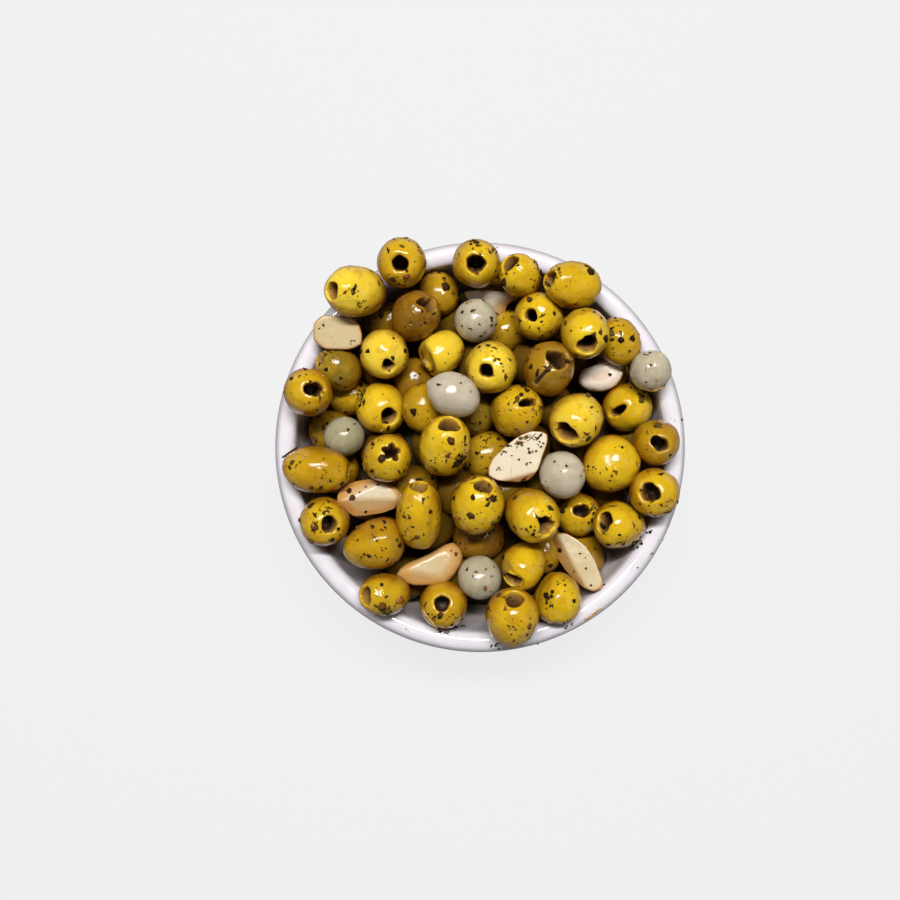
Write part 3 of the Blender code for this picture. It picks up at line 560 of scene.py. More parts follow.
# x, y, length, width, thickness, heading of the long axis, layer
GARLIC = (
    (-51.8, 40.3, 17.5, 12.5, 8.5, -4, 2), (4.4, 53.1, 19.5, 9.0, 7.0, -6, 2.4),
    (42.7, 26.8, 17.5, 11.0, 9.5, 20, 3.6), (13.5, -3.5, 22.5, 14.5, 9.5, 33, 3),
    (-39.8, -18.8, 23.5, 12.5, 10.5, 4, 3.6), (-18.6, -42.2, 25.0, 12.0, 10.5, 21, 3),
    (36.9, -43.3, 26.0, 12.5, 8.5, -59, 4),
)

# The form of each piece of garlic: corners of its outline from its middle, as seen from above; how
# full its upper side is; the height of its flat top, as a share of half the thickness; its flanks,
# each with the heading that it faces, how far from the middle it starts and its slope; its tone,
# from 0 for white to 1 for yellow
CLOVES = (
    {"corners": ((-8.6, 5.8), (4.0, 5.8), (9.0, 1.4), (8.3, -6.5), (-9.0, -6.1)),
     "full": 5.0, "top": 0.75, "flanks": ((35, 6.5, 0.45),)},
    {"corners": ((-10.8, 4.7), (10.8, 3.2), (9.7, 1.1), (5.4, -0.7), (4.3, -5.0), (1.1, -5.4),
                 (-4.3, -2.2), (-9.7, 0.7)),
     "full": 3.0, "top": 0.60, "flanks": ((-60, 0.5, 0.60),)},
    {"corners": ((-8.6, -2.2), (-7.6, 1.8), (-2.5, 3.6), (5.4, 7.6), (8.3, 4.7), (8.3, -0.4),
                 (5.0, -4.7), (-0.7, -6.5), (-6.1, -5.4)),
     "full": 2.2, "top": 1.0, "flanks": ()},
    {"corners": ((-10.8, -2.2), (-10.4, -7.9), (2.5, -8.6), (6.6, -5.4), (8.2, -1.0), (10.6, 6.0),
                 (10.4, 9.3), (2.9, 9.7), (-4.7, 4.0)),
     "full": 4.5, "top": 0.62, "flanks": ((-75, 6.3, 1.30),)},
    {"corners": ((-12.6, 0.0), (-8.3, 5.4), (1.8, 7.2), (6.8, 6.1), (11.9, 2.2), (11.2, -1.4),
                 (8.3, -4.7), (-5.0, -6.8), (-8.3, -4.7)),
     "full": 3.0, "top": 0.75, "flanks": ((-90, 0.3, 0.75), (116, 3.2, 0.90))},
    {"corners": ((-13.0, -4.3), (-10.8, -0.4), (-0.7, 4.0), (7.2, 8.6), (10.4, 6.5), (12.2, 2.5),
                 (7.2, -6.1), (0.4, -7.6), (-7.6, -7.2)),
     "full": 2.3, "top": 0.85, "flanks": ((-100, 3.5, 0.60),)},
    {"corners": ((-6.8, 11.2), (1.4, 7.2), (5.0, 2.5), (7.6, -3.2), (9.4, -9.0), (4.0, -11.5),
                 (-4.0, -4.3), (-7.6, 1.1), (-9.4, 6.1)),
     "full": 3.0, "top": 0.45, "flanks": ((209, 2.1, 1.10),)},
)
GARLIC_TONES = (0.80, 0.15, 0.0, 0.48, 0.60, 0.85, 0.80)
print(len(OLIVES), "olives read,", len(ONIONS), "onions,", len(GARLIC), "pieces of garlic")


# %% Every piece, with its turn and half sizes
BED_PITCH, BED_RADIUS, BED_WIDTH, BED_LENGTH = 17.5, 58.0, 15.5, 18.0
BED_LAYER, BED_LEAN = -0.7, 95
BED_LOOK = ("round", 0, 0.75, 0.0, 0.2)
CROWDED = 0.62                   # share of the pitch within which another low olive takes the place


def unit(vector):
    return vector / np.linalg.norm(vector)


def turn_of(place, heading, lean):
    """Axes of a piece whose own Z leans from the line of sight towards a heading in plan."""
    toward = unit(np.array(EYE) - place)
    heading = math.radians(heading)
    flat = np.array((math.cos(heading), math.sin(heading), 0.0))
    flat = unit(flat - toward * (flat @ toward))
    lean = math.radians(lean)
    axis = toward * math.cos(lean) + flat * math.sin(lean)
    side = np.cross(toward, flat)
    return np.stack((np.cross(side, axis), side, axis), 1)


def bed_pieces(pieces):
    """Rows of olives under those that show, wherever no low olive lies already."""
    low = [piece["seen"] for piece in pieces if piece["layer"] < 2]
    reach = int(BED_RADIUS / BED_PITCH) + 1
    bed = []
    for row in range(-reach, reach + 1):
        for column in range(-reach, reach + 1):
            x = (column + 0.5 * (row % 2)) * BED_PITCH
            y = row * BED_PITCH * math.sqrt(0.75)
            crowded = any(math.hypot(x - other[0], y - other[1]) < BED_PITCH * CROWDED
                          for other in low)
            if crowded or math.hypot(x, y) > BED_RADIUS:
                continue
            bed.append({"kind": "olive", "seen": (x, y), "layer": BED_LAYER, "lean": BED_LEAN,
                        "half": (BED_WIDTH / 2, BED_WIDTH / 2, BED_LENGTH / 2),
                        "heading": (37 * row + 71 * column) % 360, "look": BED_LOOK})
    return bed


def heap_pieces():
    pieces = []
    for x, y, width, length, heading, lean, layer, *look in OLIVES:
        pieces.append({"kind": "olive", "seen": (x, y), "half": (width / 2, width / 2, length / 2),
                       "layer": layer, "heading": heading, "lean": lean, "look": look})
    for x, y, width, length, heading, lean, layer, stain in ONIONS:
        pieces.append({"kind": "onion", "seen": (x, y), "half": (width / 2, width / 2, length / 2),
                       "layer": layer, "heading": heading, "lean": lean, "stain": stain})
    for row, form, tone in zip(GARLIC, CLOVES, GARLIC_TONES):
        x, y, length, width, thick, heading, layer = row
        pieces.append({"kind": "garlic", "seen": (x, y), "half": (thick / 2, width / 2, length / 2),
                       "layer": layer, "heading": heading, "lean": 90, "form": form, "tone": tone})
    pieces += bed_pieces(pieces)
    for piece in pieces:
        place = np.array((*piece["seen"], BOWL_HEIGHT))
        piece["turn"] = turn_of(place, piece["heading"], piece["lean"])
    return pieces


PIECES = heap_pieces()
print(len(PIECES), "pieces with the bed of olives below")

# %% [markdown]
# ## Let the heap settle
#
# A rigid-body simulation would shuffle the heap away from what was seen. Here every piece is an
# ellipsoid that sinks a little in each round, is pulled back to its line of sight, and is pushed
# out of its neighbours and out of the bowl. After some five hundred rounds the heap is at rest.

# %% Settle
GAP = 0.35                                   # air left between two pieces that touch
HEAP_CORE, HEAP_FALL, HEAP_REACH = 51.5, 12.0, 60.0
LAYER_STEP, SETTLE_ROUNDS, TOUCH = 13.0, 520, 0.965
FALL, HOLD = (0.25, 0.05), (0.30, 0.06)      # at first, and near the end
SLOW_FROM, PUSHES = 0.75, 3                  # share of the rounds, and pushes in each round
INSIDE_POINTS, SURFACE_STEPS = 12, 8


def core_height(radius):
    return HEAP_CORE - HEAP_FALL * (radius / HEAP_REACH) ** 2


def bowl_surface():
    """Closely spaced points of the bowl's inside and rim, as (radius, height)."""
    inside = plain_outline[:INSIDE_POINTS]
    dense = []
    for start, end in zip(inside[:-1], inside[1:]):
        for share in np.linspace(0, 1, SURFACE_STEPS, endpoint=False):
            dense.append(np.array(start) * (1 - share) + np.array(end) * share)
    return np.array(dense)


def push_apart(place, first, second, turn, half):
    between = place[second] - place[first]
    distance = np.linalg.norm(between, axis=1)
    way = between / distance[:, None]
    reach = np.zeros(len(first))
    for side in (first, second):
        local = np.einsum("nij,ni->nj", turn[side], way)
        reach += 0.5 / np.sqrt(((local / half[side]) ** 2).sum(1))
        reach += 0.5 * np.sqrt(((local * half[side]) ** 2).sum(1))
    push = way * (np.clip(reach * TOUCH - distance, 0, None) * 0.5)[:, None]
    np.add.at(place, first, -push)
    np.add.at(place, second, push)


def push_off_bowl(place, surface, turn, half):
    radius = np.hypot(place[:, 0], place[:, 1])
    offset = np.stack((radius, place[:, 2]), 1)[:, None, :] - surface[None]
    distance = np.linalg.norm(offset, axis=2)
    nearest = distance.argmin(1)
    rows = np.arange(len(place))
    near = distance[rows, nearest]
    away = offset[rows, nearest] / near[:, None]
    out = np.stack((away[:, 0] * place[:, 0] / radius, away[:, 0] * place[:, 1] / radius,
                    away[:, 1]), 1)
    local = np.einsum("nij,ni->nj", turn, out)
    support = np.sqrt(((local * half) ** 2).sum(1))
    place += out * np.clip(support + GAP - near, 0, None)[:, None]
    place[:, 2] = np.maximum(place[:, 2], core_height(np.hypot(place[:, 0], place[:, 1])))


def settle(pieces):
    seen = np.array([piece["seen"] for piece in pieces])
    half = np.array([piece["half"] for piece in pieces])
    turn = np.array([piece["turn"] for piece in pieces])
    layer = np.array([piece["layer"] for piece in pieces])
    eye, surface = np.array(EYE), bowl_surface()
    first, second = np.triu_indices(len(pieces), 1)
    place = np.column_stack((seen, BOWL_HEIGHT + LAYER_STEP * layer))
    for step in range(SETTLE_ROUNDS):
        slow = step > SETTLE_ROUNDS * SLOW_FROM
        place[:, 2] -= FALL[slow]
        share = (place[:, 2] - BOWL_HEIGHT) / (eye[2] - BOWL_HEIGHT)
        wanted = seen + (eye[None, :2] - seen) * share[:, None]
        place[:, :2] += HOLD[slow] * (wanted - place[:, :2])
        for _ in range(PUSHES):
            push_apart(place, first, second, turn, half)
            push_off_bowl(place, surface, turn, half)
    for piece, where in zip(pieces, place):
        piece["place"] = where


settle(PIECES)


def of_kind(kind):
    return [piece for piece in PIECES if piece["kind"] == kind]


def box_middle(node):
    low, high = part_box(node)
    return (low + high) / 2 / MM


def farthest_from_nodes(kind):
    """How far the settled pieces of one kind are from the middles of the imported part's nodes."""
    return max((box_middle(f"{kind}_{number}") - Vector(piece["place"])).length
               for number, piece in enumerate(of_kind(kind), 1))


print("highest piece", round(max(piece["place"][2] for piece in PIECES), 1), "mm;",
      "onions within", round(farthest_from_nodes("onion"), 2), "mm of the part's")

# %% [markdown]
# ## The skin of a pitted green olive
#
# Cured olives are golden yellow where the skin is taut and turn orange and brown where they have
# bruised. The sides that face down are painted orange and brown as well, and that is painted shade.
# Light enters the flesh a little way, so the finish scatters under the surface. Where the pit was
# pushed out, the flesh shows, and painted shade darkens it into the hole. Oil lies over everything
# and gathers in beads, which break up what the skin mirrors. Every olive carries its own tone, and
# painted shade darkens the olives of the lower layers. Those at the bottom lie under oil, so their
# finish hardly shines.

# %% Olive finish
def olive_finish(name, gloss):
    made, tree, shader = finish(name, Subsurface_Weight=0.30, Subsurface_Scale=0.003, IOR=1.5,
                                Specular_IOR_Level=gloss)
    shader.inputs["Subsurface Radius"].default_value = (1.0, 0.40, 0.08)
    own, tone, depth = read(tree, "own", "Vector"), read(tree, "tone"), read(tree, "depth")
    broad = use_group(tree, PATCHES, Position=own, Size=7.5, Detail=1.5).outputs["Patches"]
    fine = use_group(tree, PATCHES, Position=own, Size=1.6, Detail=3.0).outputs["Patches"]
    aged = math_node(tree, "ADD", tone, remap(tree, broad, 0.0, 1.0, -0.06, 0.06))
    aged = math_node(tree, "ADD", aged, remap(tree, fine, 0.0, 1.0, -0.015, 0.015), clamp=True)
    base = ramp(tree, aged, [
        (0.0, (0.79, 0.565, 0.050)), (0.28, (0.68, 0.448, 0.012)), (0.55, (0.50, 0.285, 0.0065)),
        (0.78, (0.31, 0.155, 0.0055)), (1.0, (0.17, 0.072, 0.0044)),
    ])
    moss = math_node(tree, "MULTIPLY", read(tree, "green"), remap(tree, broad, 0.0, 1.0, 0.5, 1.0))
    base = blend_colours(tree, moss, base, (0.15, 0.13, 0.015))
    spots = use_group(tree, PATCHES, Position=own, Size=4.2, Detail=2.0).outputs["Patches"]
    bruise = remap(tree, spots, 0.80, 1.0)
    base = blend_colours(tree, math_node(tree, "MULTIPLY", bruise, 0.25), base, (0.36, 0.15, 0.010))
    pores = use_group(tree, SPECKLE, Position=own, Spacing=1.5, Size=0.12).outputs["Specks"]
    base = blend_colours(tree, math_node(tree, "MULTIPLY", pores, 0.12), base, (0.70, 0.54, 0.16))
    # painted shade: orange-brown on the sides that face down, read from the world normal
    facing = add_node(tree, "ShaderNodeNewGeometry").outputs["Normal"]
    upward = add_node(tree, "ShaderNodeSeparateXYZ", {"Vector": facing}).outputs["Z"]
    brown = math_node(tree, "MULTIPLY", remap(tree, upward, 0.84, 0.12),
                      remap(tree, broad, 0.0, 1.0, 0.6, 1.0))
    base = blend_colours(tree, brown, base, (0.26, 0.093, 0.003))
    # flesh colour at the lip, then painted shade that darkens it deeper in the hole and in a tear
    flesh = ramp(tree, depth, [
        (0.0, (0.50, 0.30, 0.030)), (0.10, (0.42, 0.23, 0.045)), (0.40, (0.20, 0.095, 0.024)),
        (0.80, (0.035, 0.015, 0.006)),
    ])
    base = blend_colours(tree, remap(tree, depth, 0.0, 0.06), base, flesh)
    # painted shade: the lower layers are darkened towards near black
    base = blend_colours(tree, read(tree, "dim"), base, (0.03, 0.016, 0.005))
    feed(tree, shader.inputs["Base Color"], base)
    wet = remap(tree, fine, 0.0, 1.0, 0.04, 0.12)
    dull = remap(tree, depth, 0.0, 0.05, 0.0, 0.4)
    feed(tree, shader.inputs["Roughness"], math_node(tree, "ADD", wet, dull))
    wet_bump(tree, shader, own, 0.60, dimples=1.0, beads=3.4)
    return made


OLIVE_SKIN = olive_finish("olive_skin", 0.5)
SUNK_SKIN = olive_finish("olive_under_oil", 0.06)
print("finishes:", OLIVE_SKIN.name, SUNK_SKIN.name)

# %% [markdown]
# ## Olives with different holes
#
# A pitting machine punches the pit out through one end. Some holes are round, some tear into a star
# or a slit, and some split down the side. So one olive of each kind of hole is made first, one unit
# wide and long. The hole's edge is a radius that changes with the angle, the skin runs on to
# it along the olive's own curve, rolls over a soft lip, and goes down into a deep pocket.

# %% Kinds of hole
def wave(count, size, start):
    return lambda angle: size * math.cos(count * angle + start)


# radius as a share of the olive's, how stretched it is, the waves in its edge, depth of a tear
HOLES = {
    "round": (0.31, 1.06, (wave(3, 0.05, 1.0), wave(5, 0.03, 0.3)), 0.0),
    "small": (0.24, 1.15, (wave(3, 0.06, 2.0), wave(4, 0.05, 1.1)), 0.0),
    "wide": (0.36, 1.15, (wave(3, 0.08, 0.4), wave(7, 0.03, 0.0)), 0.0),
    "tall": (0.32, 1.45, (wave(3, 0.07, 2.2), wave(5, 0.05, 1.9)), 0.0),
    "ragged": (0.33, 1.20, (wave(3, 0.14, 0.8), wave(5, 0.10, 2.0), wave(9, 0.06, 0.5)), 0.0),
    "star": (0.30, 1.10, (wave(5, 0.26, 0.0), wave(3, 0.10, 1.3)), 0.0),
    "slit": (0.25, 2.50, (wave(3, 0.05, 0.0), wave(6, 0.05, 1.0)), 0.0),
    "torn": (0.34, 1.15, (wave(3, 0.07, 1.0), wave(8, 0.03, 0.0)), 0.13),
}
TEAR_WIDTH = 0.09            # of a tear, in radians
TEAR_CROWD = 0.55            # how closely the points draw together round a tear
LIP = 0.080                  # how softly the skin rolls into the hole
POCKET = 0.95                # how deep the hole goes, in half lengths
WELL = 0.30                  # radius of the hole deep down, as a share of the olive's
BARREL = 0.9                 # below 1 the olive's sides are fuller than an ellipse's


def hole_radius(kind, angle):
    size, stretch, waves, _ = HOLES[kind]
    radius = size / math.hypot(math.cos(angle) * stretch ** 0.5, math.sin(angle) / stretch ** 0.5)
    return radius * (1 + sum(ripple(angle) for ripple in waves))


print("kinds of hole:", ", ".join(HOLES))


# %% One olive of each kind
MODEL_MERGE = 0.0001             # points of a model closer than this are one point
LIP_TURNS = (30, 60, 90)         # points on the lip, in degrees of a quarter turn
POCKET_RINGS = (0.08, 0.2, 0.4, 0.65, 0.88, 1.0)     # shares of the way down
POCKET_ROUND, POCKET_CLOSE = 0.65, 0.16      # from where the pocket closes, and how fast
# the darkness of a tear is painted shade in its crease
TEAR_DARK = 0.9                  # how dark a tear is, as a share of the hole's depth


def meridian(kind, angle, below, above):
    """Points from the closed end to the pocket's floor, as (radius, height, depth in the hole)."""
    edge = hole_radius(kind, angle)
    line = [(0.0, -1.0, 0.0)]
    for step in range(1, below + 1):
        turn = math.pi / 2 * step / below
        line.append((math.sin(turn) ** BARREL, -math.cos(turn), 0.0))
    last = math.asin((edge + LIP) ** (1 / BARREL))
    for step in range(1, above + 1):
        turn = math.pi / 2 + (math.pi / 2 - last) * step / above
        line.append((math.sin(turn) ** BARREL, -math.cos(turn), 0.0))
    top = line[-1][1]
    for turn in LIP_TURNS:
        turn = math.radians(turn)
        line.append((edge + LIP * (1 - math.sin(turn)), top - LIP * (1 - math.cos(turn)), 0.02))
    for share in POCKET_RINGS:
        wider = edge + (WELL - edge) * math.sin(math.pi / 2 * share) ** 2
        wider *= math.sqrt(1 - max(share - POCKET_ROUND, 0.0) ** 2 / POCKET_CLOSE)
        line.append((wider, top - LIP - (POCKET - LIP) * share, 0.04 + share))
    line.append((0.0, top - POCKET * 1.02, 1.0))
    return line


def olive_mesh(name, kind, sides, below, above):
    """A whole olive, with its own coordinates and the depth in its hole kept on every point."""
    tear = HOLES[kind][3]
    coords, depths, faces = [], [], []
    for side in range(sides):
        angle = math.tau * side / sides
        if tear:
            angle += TEAR_CROWD * math.sin(math.pi - angle)
        for radius, height, depth in meridian(kind, angle, below, above):
            off = math.remainder(angle - math.pi, math.tau)
            groove = tear * math.exp(-(off / TEAR_WIDTH) ** 2)
            groove *= remap_share(height, 0.10, 0.55) * (depth == 0)
            radius -= groove
            coords.append((radius * math.cos(angle), radius * math.sin(angle), height))
            depths.append(max(depth, TEAR_DARK * remap_share(groove / (tear or 1), 0.12, 0.4)))
    ring = len(coords) // sides
    for side in range(sides):
        here, after = side * ring, (side + 1) % sides * ring
        for step in range(ring - 1):
            faces.append((here + step, after + step, after + step + 1, here + step + 1))
    return with_attributes(name, coords, faces, {"depth": ("FLOAT", depths)})


def remap_share(value, low, high):
    """From 0 at the low value to 1 at the high one, with soft ends."""
    share = min(max((value - low) / (high - low), 0.0), 1.0)
    return share * share * (3 - 2 * share)


def with_attributes(name, coords, faces, attributes):
    """A mesh of merged points that carries named numbers, and each point's own coordinates."""
    mesh = bpy.data.meshes.new(name)
    mesh.from_pydata(coords, [], faces)
    attributes = {"own": ("FLOAT_VECTOR", coords), **attributes}
    for label, (kind, values) in attributes.items():
        layer = mesh.attributes.new(label, kind, "POINT")
        layer.data.foreach_set("vector" if kind == "FLOAT_VECTOR" else "value", np.ravel(values))
    bm = bmesh.new()
    bm.from_mesh(mesh)
    bmesh.ops.remove_doubles(bm, verts=bm.verts, dist=MODEL_MERGE)
    bmesh.ops.recalc_face_normals(bm, faces=bm.faces)
    bm.to_mesh(mesh)
    bm.free()
    mesh.shade_smooth()
    return mesh


def model_shelf(name, sides, below, above):
    """A collection outside the scene with one olive of each kind, in the order of HOLES."""
    shelf = bpy.data.collections.new(name)
    for number, kind in enumerate(HOLES):
        mesh = olive_mesh(f"{name}_{number}_{kind}", kind, sides, below, above)
        shelf.objects.link(bpy.data.objects.new(mesh.name, mesh))
    return shelf


FINE_OLIVES = model_shelf("fine_olive", sides=44, below=14, above=14)
PLAIN_OLIVES = model_shelf("plain_olive", sides=24, below=8, above=7)

# %% [markdown]
# ## Put the olives in the bowl with Geometry Nodes
#
# Every olive is one point with a turn, a size, a tone and the number of its kind. The tree puts the
# right model on each point, makes the copies real, and only then bends them: a taper makes one end
# fuller, noise dents the skin, and a few olives are pressed flat on one side. The noise is read in
# each olive's own coordinates plus a shift, so the dents differ from olive to olive.

# %% The geometry tree for the olives
def geometry_tree(name, inputs):
    """An empty geometry tree, with a geometry in and out and named inputs of usual values."""
    tree = bpy.data.node_groups.new(name, "GeometryNodeTree")
    tree.interface.new_socket(name="Geometry", in_out="INPUT", socket_type="NodeSocketGeometry")
    for label, (kind, usual) in inputs.items():
        socket = tree.interface.new_socket(name=label, in_out="INPUT",
                                           socket_type="NodeSocket" + kind)
        if usual is not None:
            socket.default_value = usual
    tree.interface.new_socket(name="Geometry", in_out="OUTPUT", socket_type="NodeSocketGeometry")
    return tree, tree.nodes.new("NodeGroupInput"), tree.nodes.new("NodeGroupOutput")


def named(tree, label, kind):
    made = add_node(tree, "GeometryNodeInputNamedAttribute", {"Name": label}, data_type=kind)
    return made.outputs["Attribute"]


def copies_on_points(tree, given, models, index, turn, size):
    """Put a model from a collection on each point, and make the copies real."""
    shelf = add_node(tree, "GeometryNodeCollectionInfo", {
        "Collection": models, "Separate Children": True, "Reset Children": True,
    })
    placed = add_node(tree, "GeometryNodeInstanceOnPoints", {
        "Points": given, "Instance": shelf.outputs["Instances"], "Pick Instance": True,
        "Instance Index": index, "Rotation": turn, "Scale": size,
    })
    return add_node(tree, "GeometryNodeRealizeInstances", {
        "Geometry": placed.outputs["Instances"],
    }).outputs["Geometry"]


def with_finish(tree, geometry, material):
    smooth = add_node(tree, "GeometryNodeSetShadeSmooth", {"Geometry": geometry})
    return add_node(tree, "GeometryNodeSetMaterial", {
        "Geometry": smooth.outputs["Geometry"], "Material": material,
    }).outputs["Geometry"]


def olive_tree():
    tree, given, result = geometry_tree("heaped_olives", {
        "Models": ("Collection", None), "Finish": ("Material", None),
        "Dent Depth": ("Float", 0.0007), "Dent Size": ("Float", 7.5),
        "Wrinkle Depth": ("Float", 0.00012), "Wrinkle Size": ("Float", 1.6),
    })
    made = copies_on_points(tree, given.outputs["Geometry"], given.outputs["Models"],
                            named(tree, "model", "INT"), named(tree, "turn", "QUATERNION"),
                            named(tree, "size", "FLOAT_VECTOR"))
    own, size, turn = (named(tree, label, kind) for label, kind in (
        ("own", "FLOAT_VECTOR"), ("size", "FLOAT_VECTOR"), ("turn", "QUATERNION")))
    across = vector_node(tree, "MULTIPLY", own, size)
    across = vector_node(tree, "MULTIPLY", across, (1.0, 1.0, 0.0))
    height = add_node(tree, "ShaderNodeSeparateXYZ", {"Vector": own}).outputs["Z"]
    taper = math_node(tree, "MULTIPLY", named(tree, "taper", "FLOAT"), height)
    fuller = add_node(tree, "FunctionNodeRotateVector", {
        "Vector": vector_node(tree, "SCALE", across, taper), "Rotation": turn,
    }).outputs["Vector"]
    millimetres = vector_node(tree, "SCALE", vector_node(tree, "MULTIPLY", own, size), 1 / MM)
    shifted = vector_node(tree, "ADD", millimetres, named(tree, "shift", "FLOAT_VECTOR"))
    dent = named(tree, "dent", "FLOAT_VECTOR")
    normal = add_node(tree, "GeometryNodeInputNormal").outputs["Normal"]
    facing = add_node(tree, "ShaderNodeVectorMath", {
        0: vector_node(tree, "NORMALIZE", dent), 1: normal,
    }, operation="DOT_PRODUCT").outputs["Value"]
    pressed = vector_node(tree, "SCALE", dent, remap(tree, facing, 0.55, 1.0))
    lift = None
    for label in ("Dent", "Wrinkle"):
        bumps = add_node(tree, "ShaderNodeTexNoise", {
            "Vector": shifted, "Detail": 1.0,
            "Scale": math_node(tree, "DIVIDE", 1.0, given.outputs[label + " Size"]),
        }).outputs["Fac"]
        bumps = math_node(tree, "MULTIPLY", math_node(tree, "SUBTRACT", bumps, 0.5),
                          math_node(tree, "MULTIPLY", given.outputs[label + " Depth"], 2.0))
        lift = bumps if lift is None else math_node(tree, "ADD", lift, bumps)
    dents = vector_node(tree, "SUBTRACT", vector_node(tree, "SCALE", normal, lift), pressed)
    moved = add_node(tree, "GeometryNodeSetPosition", {
        "Geometry": made, "Offset": vector_node(tree, "ADD", fuller, dents),
    }).outputs["Geometry"]
    kept = add_node(tree, "GeometryNodeStoreNamedAttribute", {
        "Geometry": moved, "Name": "own", "Value": shifted,
    }, data_type="FLOAT_VECTOR", domain="POINT").outputs["Geometry"]
    feed(tree, result.inputs["Geometry"], with_finish(tree, kept, given.outputs["Finish"]))
    return tree


OLIVE_TREE = olive_tree()
print("tree:", OLIVE_TREE.name, "with", len(OLIVE_TREE.nodes), "nodes")


# %% Run a tree and keep the plain mesh
def grow(name, mesh, tree, **inputs):
    """Run a geometry tree on a mesh and keep the result as a plain object at the origin."""
    carrier = new_object(name + "_points", mesh)
    modifier = carrier.modifiers.new("tree", "NODES")
    modifier.node_group = tree
    for item in tree.interface.items_tree:
        label = item.name.replace(" ", "_")
        if item.in_out == "INPUT" and label in inputs:
            modifier[item.identifier] = inputs[label]
    depsgraph = bpy.context.evaluated_depsgraph_get()
    depsgraph.update()
    result = bpy.data.meshes.new_from_object(carrier.evaluated_get(depsgraph), depsgraph=depsgraph)
    carrier.modifiers.remove(modifier)
    bpy.data.objects.remove(carrier)
    result.name = name
    return new_object(name, result)


# painted shade: olives under the top layers are darkened by these shares
DIM = ((2, 0.0), (0, 0.12), (-1, 0.70))      # lowest layer, and how far painted shade darkens it
DENT_UP = 0.4                                # how far a dent faces up, as a share of its depth
# Olives that are pressed out of shape: where each is seen, heading of the dent, its depth
DENTS = {
    (-15.0, 33.5): (205, 2.4), (16.0, -42.5): (-160, 1.6), (-38.5, -35.0): (100, 1.2),
    (45.5, -6.0): (-100, 1.0), (-21.5, -25.0): (-10, 1.2), (-59.0, -7.0): (100, 1.0),
    (28.5, -55.5): (150, 1.2), (52.0, -29.5): (-60, 0.8), (24.5, 28.0): (-20, 0.9),
}


def olive_points(name, olives):
    """One point for each olive, with all that the tree reads."""
    mesh = bpy.data.meshes.new(name)
    mesh.from_pydata([piece["place"] * MM for piece in olives], [], [])
    rows = {"turn": [], "size": [], "model": [], "tone": [], "taper": [], "green": [], "shift": [],
            "dim": [], "dent": []}
    for number, piece in enumerate(olives):
        kind, spin, tone, taper, green = piece["look"]
        turn = Matrix(piece["turn"].tolist()) @ Matrix.Rotation(math.radians(spin), 3, "Z")
        rows["turn"].append(tuple(turn.to_quaternion()))
        rows["size"].append([size * MM for size in piece["half"]])
        rows["model"].append(list(HOLES).index(kind))
        rows["tone"].append(tone)
        rows["taper"].append(taper)
        rows["green"].append(green)
        rows["shift"].append((31.0 * number, 17.0 * (number % 7), 47.0 * (number % 5)))
        rows["dim"].append(next(dim for lowest, dim in DIM if piece["layer"] >= lowest))
        heading, depth = DENTS.get(piece["seen"], (0.0, 0.0))
        heading = math.radians(heading)
        rows["dent"].append((depth * MM * math.cos(heading), depth * MM * math.sin(heading),
                             depth * MM * DENT_UP))
    kinds = {"turn": "QUATERNION", "size": "FLOAT_VECTOR", "shift": "FLOAT_VECTOR", "model": "INT",
             "dent": "FLOAT_VECTOR"}
    for label, values in rows.items():
        kind = kinds.get(label, "FLOAT")
        layer = mesh.attributes.new(label, kind, "POINT")
        layer.data.foreach_set("vector" if kind == "FLOAT_VECTOR" else "value", np.ravel(values))
    return mesh


def triangles(made):
    return sum(len(face.vertices) - 2 for face in made.data.polygons)


on_top = [piece for piece in of_kind("olive") if piece["layer"] >= 2]
below = [piece for piece in of_kind("olive") if 0 <= piece["layer"] < 2]
sunk = [piece for piece in of_kind("olive") if piece["layer"] < 0]
olives_on_top = grow("olives_on_top", olive_points("top", on_top), OLIVE_TREE,
                     Models=FINE_OLIVES, Finish=OLIVE_SKIN)
olives_below = grow("olives_below", olive_points("below", below), OLIVE_TREE,
                    Models=PLAIN_OLIVES, Finish=OLIVE_SKIN)
sunk_olives = grow("olives_at_the_bottom", olive_points("sunk", sunk), OLIVE_TREE,
                   Models=PLAIN_OLIVES, Finish=SUNK_SKIN)
for made in (olives_on_top, olives_below, sunk_olives):
    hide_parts("olives")
    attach(made, "root")
    print(made.name, triangles(made), "triangles")

# %% [markdown]
# ## The core of the heap
#
# Nothing can be seen below the second layer but darkness and oil. A plain dark mound fills the bowl
# there, so that no gap shows the glaze; its near-black colour is painted shade over the oil. A
# little noise makes its top uneven.

# %% Oil with painted shade, and the core
def oil_finish():
    made, tree, shader = finish("dark_oil", Roughness=0.6, Specular_IOR_Level=0.2)
    place = object_place(tree)
    patches = use_group(tree, PATCHES, Position=place, Size=6.0, Detail=3.0).outputs["Patches"]
    # the near-black base is painted shade deep in the heap, over the oil
    base = blend_colours(tree, patches, (0.020, 0.012, 0.004), (0.055, 0.034, 0.008))
    specks = use_group(tree, SPECKLE, Position=place, Spacing=2.2, Size=0.3).outputs["Specks"]
    feed(tree, shader.inputs["Base Color"], blend_colours(tree, specks, base, (0.10, 0.06, 0.02)))
    wet_bump(tree, shader, place, 0.3)
    return made


DARK_OIL = oil_finish()
CORE_RINGS, CORE_SIDES, CORE_STEPS = 26, 96, 24
CORE_DROP = 5.5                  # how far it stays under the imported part's core
CORE_DENT = 0.0016               # in metres, on its top within a height and a radius
DENT_ABOVE, DENT_WITHIN, DENT_PITCH = 0.030, 0.058, 140


def core_outline():
    """Along the bowl's inside, then over a low dome."""
    inside = [(0.0, FLOOR + GAP)]
    wall = wall_curve(RIM_RADIUS - RIM_WIDTH - GAP, WALL_TOP - FLOOR - GAP, INSIDE_START,
                      CORE_STEPS)
    for radius, height in wall:
        if height < core_height(radius) - CORE_DROP:
            inside.append((radius, height))
    edge = inside[-1][0]
    dome = [edge * (1 - step / CORE_RINGS) for step in range(CORE_RINGS + 1)]
    return inside + [(radius, core_height(radius) - CORE_DROP) for radius in dome[1:]]


